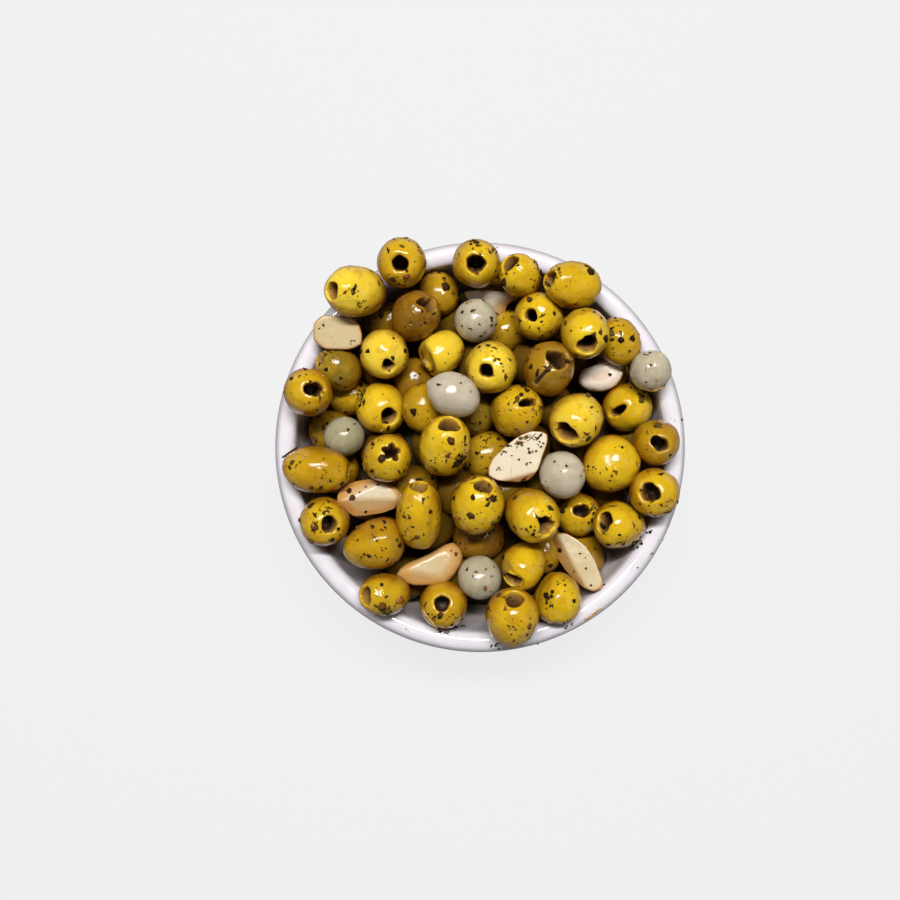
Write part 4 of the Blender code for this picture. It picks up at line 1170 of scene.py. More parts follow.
core_mesh = turned("core", core_outline(), CORE_SIDES)
for point in core_mesh.vertices:
    if point.co.z > DENT_ABOVE and math.hypot(point.co.x, point.co.y) < DENT_WITHIN:
        point.co.z += CORE_DENT * noise.noise(point.co * DENT_PITCH)
oil_core = new_object("oil_core", core_mesh, DARK_OIL)
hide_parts("olives")
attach(oil_core, "root")
print("core:", triangles(oil_core), "triangles")

# %% [markdown]
# ## Garlic
#
# Peeled cloves keep the shape in which they grew: a round back, one or two flat flanks and a curl.
# Some were cut. Each is a stack of rings of the outline that was read from above: the outline grows
# out over a full dome and comes in again below, and planes cut the dome where the clove is flat.
# The flesh is cream, orange along the edges that the marinade reached, with fine threads along it.
# The orange that deepens towards the underside is painted shade.

# %% Garlic finish
def garlic_finish():
    made, tree, shader = finish("garlic_flesh", Subsurface_Weight=0.25, Subsurface_Scale=0.003,
                                IOR=1.45)
    shader.inputs["Subsurface Radius"].default_value = (1.0, 0.80, 0.60)
    own, flat, rim = read(tree, "own", "Vector"), read(tree, "flat"), read(tree, "rim")
    broad = use_group(tree, PATCHES, Position=own, Size=6.5, Detail=2.0).outputs["Patches"]
    drawn_out = vector_node(tree, "MULTIPLY", own, (1.0, 1.0, 0.10))
    threads = use_group(tree, PATCHES, Position=drawn_out, Size=0.55, Detail=3.0).outputs["Patches"]
    face = blend_colours(tree, read(tree, "tone"), (0.88, 0.80, 0.69), (0.45, 0.345, 0.14))
    back = blend_colours(tree, 0.70, face, (0.58, 0.33, 0.10))
    base = blend_colours(tree, flat, back, face)
    # stain of the marinade along edges and sides, and painted shade towards the underside
    stained = math_node(tree, "MULTIPLY", rim, remap(tree, broad, 0.0, 1.0, 0.65, 1.0))
    base = blend_colours(tree, stained, base, (0.52, 0.23, 0.04))
    base = blend_colours(tree, math_node(tree, "MULTIPLY", threads, 0.05), base, (0.62, 0.44, 0.22))
    feed(tree, shader.inputs["Base Color"], base)
    feed(tree, shader.inputs["Roughness"], remap(tree, broad, 0.0, 1.0, 0.20, 0.32))
    wet_bump(tree, shader, own, 0.20, dimples=0.9, beads=4.0)
    return made


GARLIC_FLESH = garlic_finish()
print("finish:", GARLIC_FLESH.name)

# %% Cloves and cut pieces
CORNER_CUTS = (0.25, 0.14, 0.16, 0.25)       # share of each side that goes in each round
BELLY = 2.3                  # how full the underside is; 2 is an ellipse
EDGE_START = 0.90            # share of the way out at which the rings draw together
SOFT_EDGE = 0.6              # how far two faces blend where they meet, in millimetres
EDGE_REACH = 0.7             # how wide the stained line along such an edge is
SWAY_PITCH, SWAY_SIZE = 0.16, 0.04           # of the broad unevenness of a clove
RIPPLE_PITCH, RIPPLE_SIZE, FACE_RIPPLE = 0.5, 0.015, 0.04
PALE_TOP = 0.8               # how pale the top of a clove without flanks is
STAIN_LOW, STAIN_EDGE, STAIN_SIDE = 0.6, 0.35, 0.65


def clove_outline(piece):
    """A smooth outline in the piece's own axes: (across, along)."""
    points = np.array(piece["form"]["corners"])
    for cut in CORNER_CUTS:
        after = np.roll(points, -1, 0)
        ends = points * (1 - cut) + after * cut, points * cut + after * (1 - cut)
        points = np.stack(ends, 1).reshape(-1, 2)
    turn = math.radians(piece["heading"])
    own_axes = np.array(((-math.sin(turn), math.cos(turn)), (math.cos(turn), math.sin(turn))))
    return points @ own_axes.T


def ring_steps(full):
    """How far out and how high each ring is, from the middle of the dome to its edge."""
    steps = [(out, (1 - out ** full) ** (1 / full)) for out in np.linspace(0.06, EDGE_START, 15)]
    start = math.asin(EDGE_START ** (full / 2))
    for share in np.linspace(0, 1, 10)[1:]:
        angle = start + (math.pi / 2 - start) * (1 - (1 - share) ** 1.6)
        steps.append((math.sin(angle) ** (2 / full), max(math.cos(angle), 0.0) ** (2 / full)))
    return steps


def lower_of(first, second, soft):
    """The lower of two heights, blended where they meet."""
    gap = max(soft - abs(first - second), 0.0) / soft
    return min(first, second) - gap * gap * soft / 4


def under_planes(piece, dome, across, along):
    """The height under the flat top and the flanks, how flat it is there and how near an edge."""
    form = piece["form"]
    planes = [form["top"] * piece["half"][0]]
    for heading, start, slope in form["flanks"]:
        facing = math.radians(heading - piece["heading"])
        out = along * math.cos(facing) + across * math.sin(facing)
        planes.append(planes[0] - slope * (out - start))
    height, nearest = dome, 9.0
    for plane in planes:
        nearest = min(nearest, abs(height - plane))
        height = lower_of(height, plane, SOFT_EDGE)
    on_top = remap_share(min(planes) - planes[0], -0.9, -0.1)
    on_top *= remap_share(dome - planes[0], -0.3, 0.3)
    edge = math.exp(-(nearest / EDGE_REACH) ** 2) * (len(planes) > 1 or on_top > 0)
    return height, on_top, edge


def garlic_mesh(name, piece, number):
    """A piece's own X axis points away from the eye, so what is up is negative there."""
    outline, thick = clove_outline(piece), piece["half"][0]
    upper = ring_steps(piece["form"]["full"])
    lower = [(out, -height) for out, height in ring_steps(BELLY)[-2::-1]]
    coords, flats, rims, faces = [], [], [], []
    for out, height in upper + lower:
        for across, along in outline * out:
            up, flat, edge = under_planes(piece, thick * height, across, along)
            if not piece["form"]["flanks"]:
                flat = max(flat, PALE_TOP * remap_share(height, 0.1, 0.6))
            spot = Vector((up, across, along))
            sway = noise.noise(spot * SWAY_PITCH + Vector((9.0 * number, 0, 0)))
            ripple = noise.noise(spot * RIPPLE_PITCH + Vector((0, 7.0 * number, 0)))
            swell = 1 + SWAY_SIZE * sway + RIPPLE_SIZE * ripple
            coords.append((-up - FACE_RIPPLE * ripple * flat, across * swell, along * swell))
            flats.append(flat)
            # darker orange towards the underside: painted shade
            low = remap_share(-up / thick, -0.6, 0.4)
            side = (1 - flat) * remap_share(out, 0.6, 1.0)
            rims.append(min(STAIN_LOW * low + STAIN_EDGE * edge + STAIN_SIDE * side, 1.0))
    count = len(outline)
    rings = len(coords) // count
    for ring in range(rings - 1):
        for side in range(count):
            after = (side + 1) % count
            row = ring * count
            faces.append((row + side, row + after, row + count + after, row + count + side))
    for row, depth, flat in ((0, coords[0][0], 1.0), ((rings - 1) * count, thick, 0.0)):
        faces += [(row + side, row + (side + 1) % count, len(coords)) for side in range(count)]
        coords.append((depth, 0.0, 0.0))
        flats.append(flat)
        rims.append(1.0 - flat)
    tones = [piece["tone"]] * len(coords)
    mesh = with_attributes(name, coords, faces, {
        "flat": ("FLOAT", flats), "rim": ("FLOAT", rims), "tone": ("FLOAT", tones)})
    shift_own(mesh, number)
    return mesh


def shift_own(mesh, number):
    """No two pieces share a pattern, so each reads it elsewhere."""
    own = mesh.attributes["own"].data
    for entry in own:
        entry.vector = Vector(entry.vector) + Vector((41.0 * number, 0.0, 23.0 * number))


def lay_in_place(mesh, piece):
    """Bring a mesh from its own millimetres to its place in the heap, in metres."""
    columns = np.column_stack((piece["turn"] * MM, piece["place"] * MM))
    mesh.transform(Matrix([list(row) for row in columns] + [[0, 0, 0, 1]]))


def add_piece(name, mesh, material, node):
    made = new_object(name, mesh, material)
    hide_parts(node)
    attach(made, "root")
    return made


garlic = []
for number, piece in enumerate(of_kind("garlic"), 1):
    mesh = garlic_mesh(f"clove_{number}", piece, number)
    lay_in_place(mesh, piece)
    garlic.append(add_piece(f"clove_{number}", mesh, GARLIC_FLESH, f"garlic_{number}"))
print("garlic:", sum(triangles(made) for made in garlic), "triangles in", len(garlic), "pieces")

# %% [markdown]
# ## Pearl onions
#
# A pickled pearl onion is a drop of clear, layered flesh: milky, a little grey, with fine veins
# that run from the root to the tip. It is far more see-through than garlic, so light spreads widely
# in it, and the marinade stains some of them green.

# %% Onion finish
def onion_finish():
    made, tree, shader = finish("onion_skin", Subsurface_Weight=1.0, Subsurface_Scale=0.012,
                                IOR=1.45)
    shader.inputs["Subsurface Radius"].default_value = (1.0, 0.9, 0.7)
    own, vein, stain = read(tree, "own", "Vector"), read(tree, "vein"), read(tree, "stain")
    broad = use_group(tree, PATCHES, Position=own, Size=6.0, Detail=2.0).outputs["Patches"]
    base = blend_colours(tree, broad, (0.52, 0.46, 0.37), (0.44, 0.385, 0.29))
    base = blend_colours(tree, math_node(tree, "MULTIPLY", stain, 0.8), base, (0.26, 0.24, 0.11))
    base = blend_colours(tree, math_node(tree, "MULTIPLY", vein, 0.12), base, (0.66, 0.62, 0.50))
    base = blend_colours(tree, read(tree, "end"), base, (0.42, 0.32, 0.12))
    feed(tree, shader.inputs["Base Color"], base)
    feed(tree, shader.inputs["Roughness"], remap(tree, broad, 0.0, 1.0, 0.04, 0.11))
    wet_bump(tree, shader, own, 0.45, dimples=0.9, beads=3.5)
    return made


ONION_SKIN = onion_finish()
print("finish:", ONION_SKIN.name)

# %% Onions
ONION_SIDES, ONION_RINGS, ONION_VEINS = 56, 40, 14
ONION_SHOULDER = 0.62            # share of the length at which it starts to narrow to the tip
ONION_NARROWING = 0.55
ONION_ROOT, ONION_TIP = 0.94, 0.06           # the round body, and how far the tip stands out
ONION_NECK = 0.10                # width of the tip, as a share of the onion's
SWAY, RIDGE = 0.035, 0.006       # how uneven its sides are, and how high a vein stands


def onion_profile(share):
    """Radius and height of an onion's outline, as shares, from the root to the tip."""
    angle = math.pi * share
    radius = math.sin(angle) * (1 - ONION_NARROWING * max(share - ONION_SHOULDER, 0.0))
    height = -ONION_ROOT * math.cos(angle)
    tip = remap_share(share, 0.90, 1.0)
    neck = ONION_NECK * tip * (share < 1)
    return max(radius, neck), height + ONION_TIP * tip


def onion_mesh(name, piece, number):
    half_width, _, half_length = piece["half"]
    coords, veins, ends, faces = [], [], [], []
    for side in range(ONION_SIDES):
        angle = math.tau * side / ONION_SIDES
        for step in range(ONION_RINGS + 1):
            share = step / ONION_RINGS
            radius, height = onion_profile(share)
            spot = Vector((math.cos(angle), math.sin(angle), 2 * height)) * 0.9
            sway = noise.noise(spot + Vector((number * 3.0, 0, 0)))
            ridge = math.cos(ONION_VEINS * angle + 4 * sway)
            radius *= 1 + SWAY * sway + RIDGE * ridge
            coords.append((half_width * radius * math.cos(angle),
                           half_width * radius * math.sin(angle), half_length * height))
            veins.append(max(ridge, 0.0) ** 3 * math.sin(math.pi * share) ** 0.5)
            ends.append(max(remap_share(share, 0.93, 1.0), remap_share(share, 0.05, 0.0)) * 0.8)
    ring = ONION_RINGS + 1
    for side in range(ONION_SIDES):
        here, after = side * ring, (side + 1) % ONION_SIDES * ring
        for step in range(ONION_RINGS):
            faces.append((here + step, after + step, after + step + 1, here + step + 1))
    stain = [piece["stain"]] * len(coords)
    mesh = with_attributes(name, coords, faces, {
        "vein": ("FLOAT", veins), "end": ("FLOAT", ends), "stain": ("FLOAT", stain)})
    shift_own(mesh, number)
    return mesh


onions = []
for number, piece in enumerate(of_kind("onion"), 1):
    mesh = onion_mesh(f"pearl_onion_{number}", piece, number)
    lay_in_place(mesh, piece)
    onions.append(add_piece(f"pearl_onion_{number}", mesh, ONION_SKIN, f"onion_{number}"))
print("onions:", sum(triangles(made) for made in onions), "triangles in", len(onions), "pieces")

# %% [markdown]
# ## Dried herbs, chilli and straw
#
# The marinade leaves its herbs on everything: flat crumbs of leaf, dark lumps, a few chips of
# chilli and bits of stalk. A few small models are enough, because the copies differ by turn, size
# and shade. The models are closed and have a few dozen faces at most, since there are thousands of
# copies.

# %% Herb finish
def herb_finish():
    made, tree, shader = finish("dried_herb", Specular_IOR_Level=0.06)
    place = object_place(tree)
    grain = use_group(tree, PATCHES, Position=place, Size=0.5, Detail=3.0).outputs["Patches"]
    shade = math_node(tree, "ADD", read(tree, "shade"), remap(tree, grain, 0.0, 1.0, -0.06, 0.06),
                      clamp=True)
    base = ramp(tree, shade, [
        (0.0, (0.018, 0.009, 0.004)), (0.35, (0.042, 0.020, 0.007)), (0.58, (0.100, 0.045, 0.012)),
        (0.76, (0.105, 0.085, 0.014)), (0.86, (0.17, 0.030, 0.010)), (0.93, (0.30, 0.10, 0.02)),
        (1.0, (0.55, 0.36, 0.10)),
    ])
    feed(tree, shader.inputs["Base Color"], base)
    feed(tree, shader.inputs["Roughness"], remap(tree, grain, 0.0, 1.0, 0.40, 0.65))
    wet_bump(tree, shader, place, 0.8, dimples=0.25, beads=0.8)
    return made


DRIED_HERB = herb_finish()
print("finish:", DRIED_HERB.name)


# %% Models of crumbs, chips and stalks, one unit long
SLIM = 0.6                   # width of a leaf crumb as a share of its length


def leaf_crumb(name, seed, corners, curl, thick):
    """A flat crumb of leaf with a broken edge, curled and closed."""
    draw = np.random.default_rng(seed)
    rim = []
    for corner in range(corners):
        angle = math.tau * (corner + 0.5 * draw.random()) / corners
        reach = 0.5 * (0.30 + 0.70 * draw.random())
        rim.append((reach * math.cos(angle), SLIM * reach * math.sin(angle)))
    middle = (0.06 * draw.normal(), 0.05 * draw.normal())
    coords = []
    for side in (1, -1):
        coords += [(x, y, curl * x * x + 0.3 * side * thick) for x, y in rim]
        coords.append((*middle, side * thick))
    faces = []
    other, top, bottom = corners + 1, corners, 2 * corners + 1
    for corner in range(corners):
        after = (corner + 1) % corners
        faces.append((top, corner, after))
        faces.append((bottom, other + after, other + corner))
        faces.append((corner, other + corner, other + after, after))
    return with_attributes(name, coords, faces, {})


def lump(name, seed, flat):
    """A rough little lump, such as a bit of peppercorn."""
    draw = np.random.default_rng(seed)
    bm = bmesh.new()
    bmesh.ops.create_icosphere(bm, subdivisions=1, radius=0.5)
    for point in bm.verts:
        point.co *= 0.55 + 0.6 * draw.random()
        point.co.z *= flat
    coords = [tuple(point.co) for point in bm.verts]
    faces = [[point.index for point in face.verts] for face in bm.faces]
    bm.free()
    return with_attributes(name, coords, faces, {})


def stalk(name, sides, joints, bend, width):
    """A bent bit of stalk, closed at both ends."""
    coords, faces = [], []
    for joint in range(joints + 1):
        along = joint / joints - 0.5
        for side in range(sides):
            angle = math.tau * side / sides
            thick = width * (1 - 0.5 * abs(along))
            coords.append((along, bend * math.sin(5 * along) + thick * math.cos(angle),
                           thick * math.sin(angle)))
    for joint in range(joints):
        for side in range(sides):
            row, after = joint * sides, (side + 1) % sides
            faces.append((row + side, row + sides + side, row + sides + after, row + after))
    faces.append(tuple(range(sides)))
    faces.append(tuple(range(joints * sides, (joints + 1) * sides))[::-1])
    return with_attributes(name, coords, faces, {})


HERB_MODELS = (
    leaf_crumb("herb_0", 11, 7, 0.25, 0.10), leaf_crumb("herb_1", 12, 6, -0.20, 0.12),
    leaf_crumb("herb_2", 13, 8, 0.35, 0.09), leaf_crumb("herb_3", 14, 5, 0.0, 0.14),
    lump("herb_4", 15, 0.6), lump("herb_5", 16, 0.8), stalk("herb_6", 5, 4, 0.10, 0.07),
)
herb_shelf = bpy.data.collections.new("herb_models")
for mesh in HERB_MODELS:
    herb_shelf.objects.link(bpy.data.objects.new(mesh.name, mesh))
LEAF, LUMP, STALK = 0, 4, 6
print(len(HERB_MODELS), "herb models, the largest with",
      max(len(mesh.polygons) for mesh in HERB_MODELS), "faces")

# %% [markdown]
# ## The flakes that can be told apart
#
# The larger flakes lie on the very piece on which they are seen. A ray from the eye finds that
# place and the way the surface faces there, so each flake lies flat on it from any side. A cluster
# is a row with a count: its crumbs are strewn round the place within the given length and width.

# %% Read flakes and lay them down
FLAKE_LIFT = 0.12            # how far the middle of a flake is above what it lies on

# Where the eye sees it, length, width, heading, how many, model, shade
FLAKES = (
    (-43.0, 52.0, 4.4, 2.5, 30, 5, LEAF, 0.30), (-42.0, 49.5, 2.6, 1.6, 80, 3, LEAF, 0.20),
    (-26.0, 76.0, 4.6, 2.2, 20, 5, LEAF, 0.30), (-21.5, 71.5, 3.5, 2.0, -60, 3, LEAF, 0.35),
    (-1.5, 74.0, 6.5, 2.4, 0, 8, LEAF, 0.30), (5.0, 72.0, 4.0, 2.2, -30, 4, LEAF, 0.25),
    (19.5, 58.0, 3.0, 1.4, 70, 2, LEAF, 0.80), (5.0, 31.5, 2.8, 1.4, 60, 1, LEAF, 0.55),
    (-43.0, 19.0, 6.0, 3.6, 80, 11, LEAF, 0.15), (10.5, 13.5, 2.9, 2.2, 40, 3, LEAF, 0.05),
    (14.0, 12.0, 2.6, 1.8, -30, 2, LEAF, 0.84), (9.5, 21.0, 2.4, 1.5, 0, 2, LUMP, 0.10),
    (56.0, 21.5, 4.0, 2.0, -20, 3, LEAF, 0.40), (59.0, 18.5, 3.5, 2.0, 50, 3, LEAF, 0.30),
    (49.0, 0.5, 3.5, 2.0, 10, 2, LEAF, 0.35), (45.5, -7.5, 3.2, 1.5, 90, 2, LEAF, 0.60),
    (49.5, -9.0, 3.2, 1.8, -40, 2, LEAF, 0.40), (-7.0, -4.5, 8.6, 2.2, 40, 9, LEAF, 0.12),
    (-69.0, -2.0, 6.5, 1.6, 43, 1, STALK, 0.40), (-57.0, -22.0, 3.8, 2.0, 0, 4, LEAF, 0.30),
    (-60.0, -27.5, 3.8, 2.3, 70, 4, LEAF, 0.40), (-56.5, -30.5, 3.6, 2.0, -20, 4, LEAF, 0.30),
    (-38.5, -33.0, 3.6, 1.6, 110, 3, LEAF, 0.45), (-35.5, -36.5, 2.6, 1.5, -50, 2, LEAF, 0.30),
    (-41.5, -39.0, 4.0, 2.0, 0, 4, LEAF, 0.45), (-35.0, -28.5, 4.6, 2.4, 60, 8, LEAF, 0.20),
    (2.5, -19.5, 3.0, 2.2, 20, 2, LUMP, 0.15), (-2.8, -18.2, 2.2, 1.6, 0, 1, LUMP, 0.25),
    (-8.0, -14.5, 3.2, 1.6, 40, 3, LEAF, 0.20), (57.0, -35.0, 5.5, 3.6, 45, 12, LEAF, 0.15),
    (61.0, -30.0, 4.0, 2.5, 80, 7, LEAF, 0.20), (-16.0, -62.0, 4.0, 2.0, -20, 5, LEAF, 0.25),
    (-8.0, -64.5, 5.5, 2.2, 15, 8, LEAF, 0.20), (-13.0, -67.0, 4.0, 2.0, -10, 6, LEAF, 0.15),
    (11.0, -65.5, 4.6, 1.8, -10, 5, LEAF, 0.45), (25.0, -55.5, 5.2, 3.6, 80, 12, LEAF, 0.12),
    (4.0, 46.0, 4.4, 2.8, 70, 6, LEAF, 0.15), (-2.5, 49.5, 2.4, 1.0, 30, 1, LEAF, 0.10),
    (1.5, 41.5, 2.6, 1.0, 60, 1, LEAF, 0.84), (-3.5, 43.0, 2.4, 0.9, -30, 1, LEAF, 0.15),
    (-2.5, -46.0, 3.6, 2.2, 60, 3, LEAF, 0.10), (-5.0, -44.5, 2.4, 1.6, 70, 1, LEAF, 0.40),
    (4.5, -46.5, 3.0, 1.8, 50, 2, LEAF, 0.20), (1.8, -51.0, 2.0, 1.4, 0, 1, LUMP, 0.87),
    (15.0, 2.5, 5.0, 2.4, 30, 8, LEAF, 0.80), (22.0, 1.0, 3.5, 2.0, -20, 4, LEAF, 0.20),
    (19.0, 4.0, 4.5, 2.2, 20, 7, STALK, 0.88), (8.0, -1.5, 3.2, 1.6, 60, 3, LEAF, 0.87),
    (24.5, -1.5, 3.0, 1.6, 60, 3, LEAF, 0.60), (2.0, 3.0, 4.0, 3.2, 0, 9, LEAF, 0.20),
    (39.5, -50.0, 3.5, 1.6, 50, 2, LEAF, 0.20), (45.0, -49.8, 1.6, 1.0, 0, 1, LEAF, 0.10),
    (36.0, -38.5, 1.8, 1.2, 0, 1, LEAF, 0.10), (34.0, -45.0, 2.4, 0.9, 70, 1, LEAF, 0.84),
    (-58.0, 44.0, 4.0, 1.5, 40, 4, LEAF, 0.30), (-46.0, 38.0, 2.6, 1.8, 0, 3, LEAF, 0.30),
    (64.6, 21.2, 4.6, 0.9, 35, 1, STALK, 0.97), (63.9, 24.3, 2.0, 1.6, 0, 1, LEAF, 0.99),
    (61.0, 33.5, 4.0, 2.0, 20, 5, LEAF, 0.30), (40.9, -60.4, 7.6, 2.6, 29, 1, STALK, 1.0),
    (-18.2, -62.2, 8.6, 1.2, -55, 1, STALK, 1.0), (5.5, -72.1, 4.2, 2.6, 10, 7, LEAF, 0.05),
    (20.1, -72.1, 4.4, 2.4, 15, 7, LEAF, 0.05), (32.1, -64.8, 3.4, 1.8, 30, 4, LEAF, 0.10),
    (70.1, 10.0, 2.2, 1.4, 0, 2, LEAF, 0.30), (73.0, 10.0, 1.8, 1.2, 30, 1, LEAF, 0.25),
    (65.3, -34.1, 2.2, 1.4, 0, 2, LEAF, 0.70), (62.1, -38.5, 1.8, 1.0, 0, 1, LEAF, 0.80),
    (56.9, -43.6, 1.4, 0.8, 0, 1, LEAF, 0.20), (-26.6, -65.9, 2.0, 1.2, -30, 2, LEAF, 0.15),
    (-1.2, 13.4, 3.4, 0.8, -50, 1, STALK, 0.99), (-0.4, 14.6, 3.2, 0.7, -15, 1, STALK, 0.98),
    (-2.4, 12.6, 3.0, 0.7, -80, 1, STALK, 0.99), (-1.6, 14.2, 3.0, 1.0, -35, 1, STALK, 1.0),
    (-6.6, 44.0, 2.4, 1.0, 50, 1, LEAF, 0.15), (-0.4, 44.7, 2.2, 0.9, -50, 1, LEAF, 0.20),
    (-4.4, 52.0, 2.6, 1.3, -80, 2, LEAF, 0.10), (1.1, 53.1, 2.0, 1.0, -60, 1, LEAF, 0.10),
    (14.0, 1.0, 4.0, 3.0, 30, 7, LEAF, 0.58), (18.5, -1.0, 4.0, 3.5, 30, 7, LEAF, 0.55),
    (21.0, 3.2, 4.0, 2.5, 30, 8, LEAF, 0.35), (10.5, -2.5, 3.5, 3.0, 0, 4, LEAF, 0.60),
    (7.0, -7.5, 3.0, 2.0, 0, 3, LEAF, 0.15), (17.5, -6.5, 3.0, 2.5, 0, 4, LEAF, 0.55),
    (11.2, -8.8, 3.6, 0.25, 85, 1, STALK, 0.35), (20.8, 27.2, 5.5, 1.3, 65, 1, LEAF, 0.05),
    (-27.0, 59.5, 3.0, 2.0, 60, 3, LEAF, 0.15), (1.5, 0.0, 3.0, 2.0, 30, 4, LEAF, 0.55),
)


def joined_surface(pieces):
    """One mesh of several pieces, and a tree that finds where a ray meets it."""
    bm = bmesh.new()
    for made in pieces:
        bm.from_mesh(made.data)
    bm.normal_update()
    tree = BVHTree.FromBMesh(bm)
    return bm, tree


food = [olives_on_top, olives_below, sunk_olives, *garlic, *onions]
surface, meeting = joined_surface(food + [glazed_bowl])
surface.free()


def seen_at(x, y):
    eye = Vector(EYE) * MM
    way = (Vector((x, y, BOWL_HEIGHT)) * MM - eye).normalized()
    point, normal, _, _ = meeting.ray_cast(eye, way)
    return point, normal


def lay_flat(normal, heading, lean=(0.0, 0.0)):
    """A turn whose Z is the normal and whose X points to a heading in plan."""
    way = Vector((math.cos(heading), math.sin(heading), 0.0))
    way = (way - normal * way.dot(normal)).normalized()
    flat = Matrix((way, normal.cross(way), normal)).transposed()
    return flat @ Matrix.Rotation(lean[0], 3, "X") @ Matrix.Rotation(lean[1], 3, "Y")


def read_flakes():
    """A row for each flake: place, turn, size, model and shade."""
    draw, rows = np.random.default_rng(5), []
    for x, y, length, width, heading, count, model, shade in FLAKES:
        heading = math.radians(heading)
        for number in range(count):
            along, across = draw.uniform(-0.42, 0.42, 2) * (length, width) * (count > 1)
            point, normal = seen_at(x + along * math.cos(heading) - across * math.sin(heading),
                                    y + along * math.sin(heading) + across * math.cos(heading))
            if point is None:
                continue
            size = length if count == 1 else length * draw.uniform(0.25, 0.55)
            slim = width / length / SLIM if count == 1 else draw.uniform(0.6, 1.2)
            turn = heading + (0.0 if count == 1 else draw.uniform(-0.9, 0.9))
            lean = draw.uniform(-0.25, 0.25, 2) * (count > 1)
            pick = model
            if model != STALK:
                pick += int(draw.integers(0, 4 if model == LEAF else 2))
            height = 0.8 if model == LUMP else 1.0
            rows.append((point + normal * FLAKE_LIFT * MM, lay_flat(normal, turn, lean),
                         (size * MM, size * slim * MM, size * height * MM), pick,
                         min(max(shade + draw.normal() * 0.05, 0.0), 1.0)))
    return rows


def flake_points(rows):
    mesh = bpy.data.meshes.new("flakes")
    mesh.from_pydata([row[0] for row in rows], [], [])
    layers = (("turn", "QUATERNION", [tuple(row[1].to_quaternion()) for row in rows]),
              ("size", "FLOAT_VECTOR", [row[2] for row in rows]),
              ("model", "INT", [row[3] for row in rows]),
              ("shade", "FLOAT", [row[4] for row in rows]))
    for label, kind, values in layers:
        layer = mesh.attributes.new(label, kind, "POINT")
        layer.data.foreach_set("vector" if kind == "FLOAT_VECTOR" else "value", np.ravel(values))
    return mesh


def flake_tree():
    tree, given, result = geometry_tree("laid_flakes", {
        "Models": ("Collection", None), "Finish": ("Material", None)})
    made = copies_on_points(tree, given.outputs["Geometry"], given.outputs["Models"],
                            named(tree, "model", "INT"), named(tree, "turn", "QUATERNION"),
                            named(tree, "size", "FLOAT_VECTOR"))
    feed(tree, result.inputs["Geometry"], with_finish(tree, made, given.outputs["Finish"]))
    return tree


flakes = grow("herb_flakes", flake_points(read_flakes()), flake_tree(), Models=herb_shelf,
              Finish=DRIED_HERB)
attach(flakes, "root")
print("flakes:", triangles(flakes), "triangles")

# %% [markdown]
# ## The rest of the herbs
#
# The small crumbs are strewn by rule. The tree scatters points over what faces up, more of them
# where a noise says that a spoonful fell, turns each crumb to lie on its surface, and gives it a
# model, a size and a shade at random from one seed.

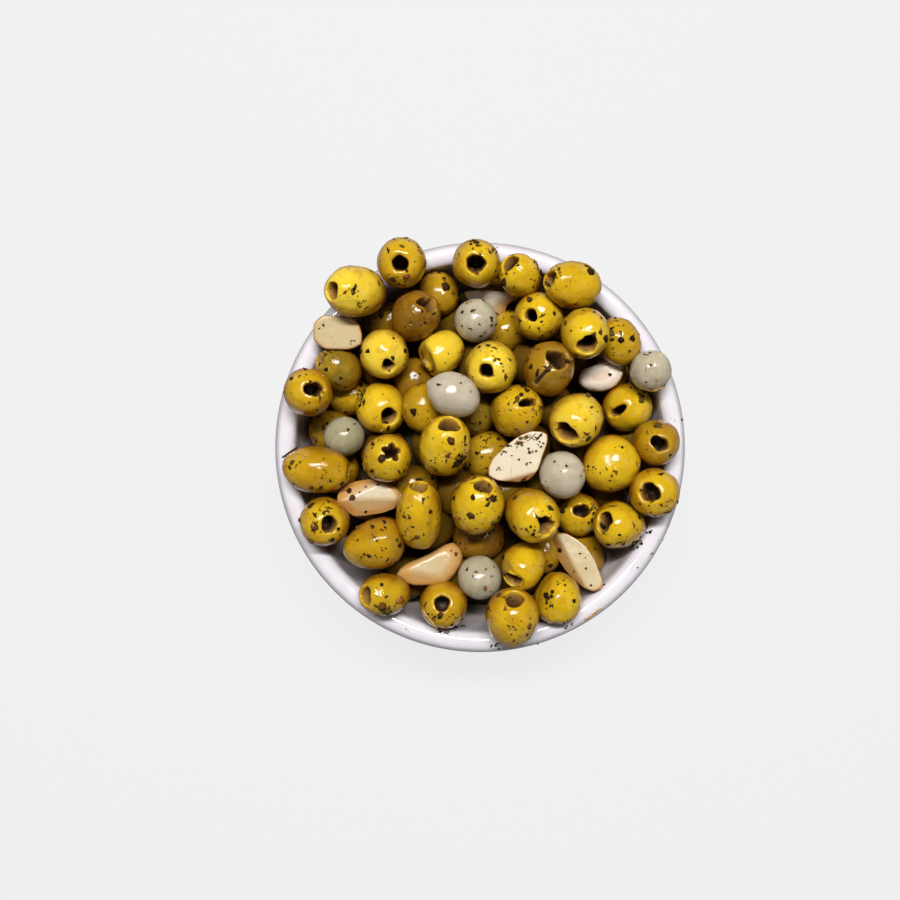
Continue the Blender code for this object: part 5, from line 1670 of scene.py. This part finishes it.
# %% The geometry tree that strews crumbs
def strewing_tree():
    tree, given, result = geometry_tree("strewn_herbs", {
        "Models": ("Collection", None), "Finish": ("Material", None),
        "Density": ("Float", 110000.0), "Smallest": ("Float", 0.0006),
        "Largest": ("Float", 0.0031), "Steepest": ("Float", 0.05),
        "Spoonful": ("Float", 10.0), "Seed": ("Int", 3),
    })
    seed = given.outputs["Seed"]
    place = add_node(tree, "GeometryNodeInputPosition").outputs["Position"]
    normal = add_node(tree, "GeometryNodeInputNormal").outputs["Normal"]
    upward = add_node(tree, "ShaderNodeSeparateXYZ", {"Vector": normal}).outputs["Z"]
    cloud = add_node(tree, "ShaderNodeTexNoise", {
        "Vector": vector_node(tree, "SCALE", place, 1 / MM), "Detail": 2.0,
        "Scale": math_node(tree, "DIVIDE", 1.0, given.outputs["Spoonful"]),
    }).outputs["Fac"]
    thick = math_node(tree, "POWER", math_node(tree, "MULTIPLY", cloud, 1.85), 4.0)
    open_up = add_node(tree, "ShaderNodeMapRange", {
        "Value": upward, "From Min": given.outputs["Steepest"], "From Max": 0.6,
    }).outputs["Result"]
    density = math_node(tree, "MULTIPLY", math_node(tree, "MULTIPLY", thick, open_up),
                        given.outputs["Density"])
    points = add_node(tree, "GeometryNodeDistributePointsOnFaces", {
        "Mesh": given.outputs["Geometry"], "Density": density, "Seed": seed,
    })

    def draw(low, high, offset, kind="FLOAT"):
        """A random number between two others; the sockets differ with the kind of number."""
        made = add_node(tree, "FunctionNodeRandomValue", data_type=kind)
        index = {"FLOAT": (2, 3, 1), "INT": (4, 5, 2), "FLOAT_VECTOR": (0, 1, 0)}[kind]
        feed(tree, made.inputs[index[0]], low)
        feed(tree, made.inputs[index[1]], high)
        feed(tree, made.inputs["Seed"], math_node(tree, "ADD", seed, float(offset)))
        return made.outputs[index[2]]

    shade = math_node(tree, "POWER", draw(0.0, 0.97, 1), 1.3)
    shaded = add_node(tree, "GeometryNodeStoreNamedAttribute", {
        "Geometry": points.outputs["Points"], "Name": "shade", "Value": shade,
    }, data_type="FLOAT", domain="POINT").outputs["Geometry"]
    turn = add_node(tree, "FunctionNodeRotateRotation", {
        "Rotation": points.outputs["Rotation"],
        "Rotate By": draw((-0.2, -0.2, 0.0), (0.2, 0.2, math.tau), 2, "FLOAT_VECTOR"),
    }, rotation_space="LOCAL").outputs["Rotation"]
    grade = math_node(tree, "POWER", draw(0.0, 1.0, 3), 3.0)
    size = add_node(tree, "ShaderNodeMapRange", {
        "Value": grade, "To Min": given.outputs["Smallest"], "To Max": given.outputs["Largest"],
    }).outputs["Result"]
    stretch = draw((0.9, 0.7, 0.8), (1.7, 1.4, 1.1), 4, "FLOAT_VECTOR")
    made = copies_on_points(tree, shaded, given.outputs["Models"], draw(0, 5, 5, "INT"), turn,
                            vector_node(tree, "SCALE", stretch, size))
    feed(tree, result.inputs["Geometry"], with_finish(tree, made, given.outputs["Finish"]))
    return tree


def strewn(name, pieces, tree, **inputs):
    surface, _ = joined_surface(pieces)
    mesh = bpy.data.meshes.new(name)
    surface.to_mesh(mesh)
    surface.free()
    made = grow(name, mesh, tree, Models=herb_shelf, Finish=DRIED_HERB, **inputs)
    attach(made, "root")
    print(name + ":", triangles(made), "triangles")


STREWING = strewing_tree()
skins = [olives_on_top, olives_below]
strewn("herb_crumbs", skins, STREWING, Seed=3)
strewn("herb_crumbs_on_pale", garlic + onions, STREWING, Seed=4, Density=30000.0)
strewn("herb_dust", skins, STREWING, Seed=8, Density=120000.0, Smallest=0.0002, Largest=0.0006)
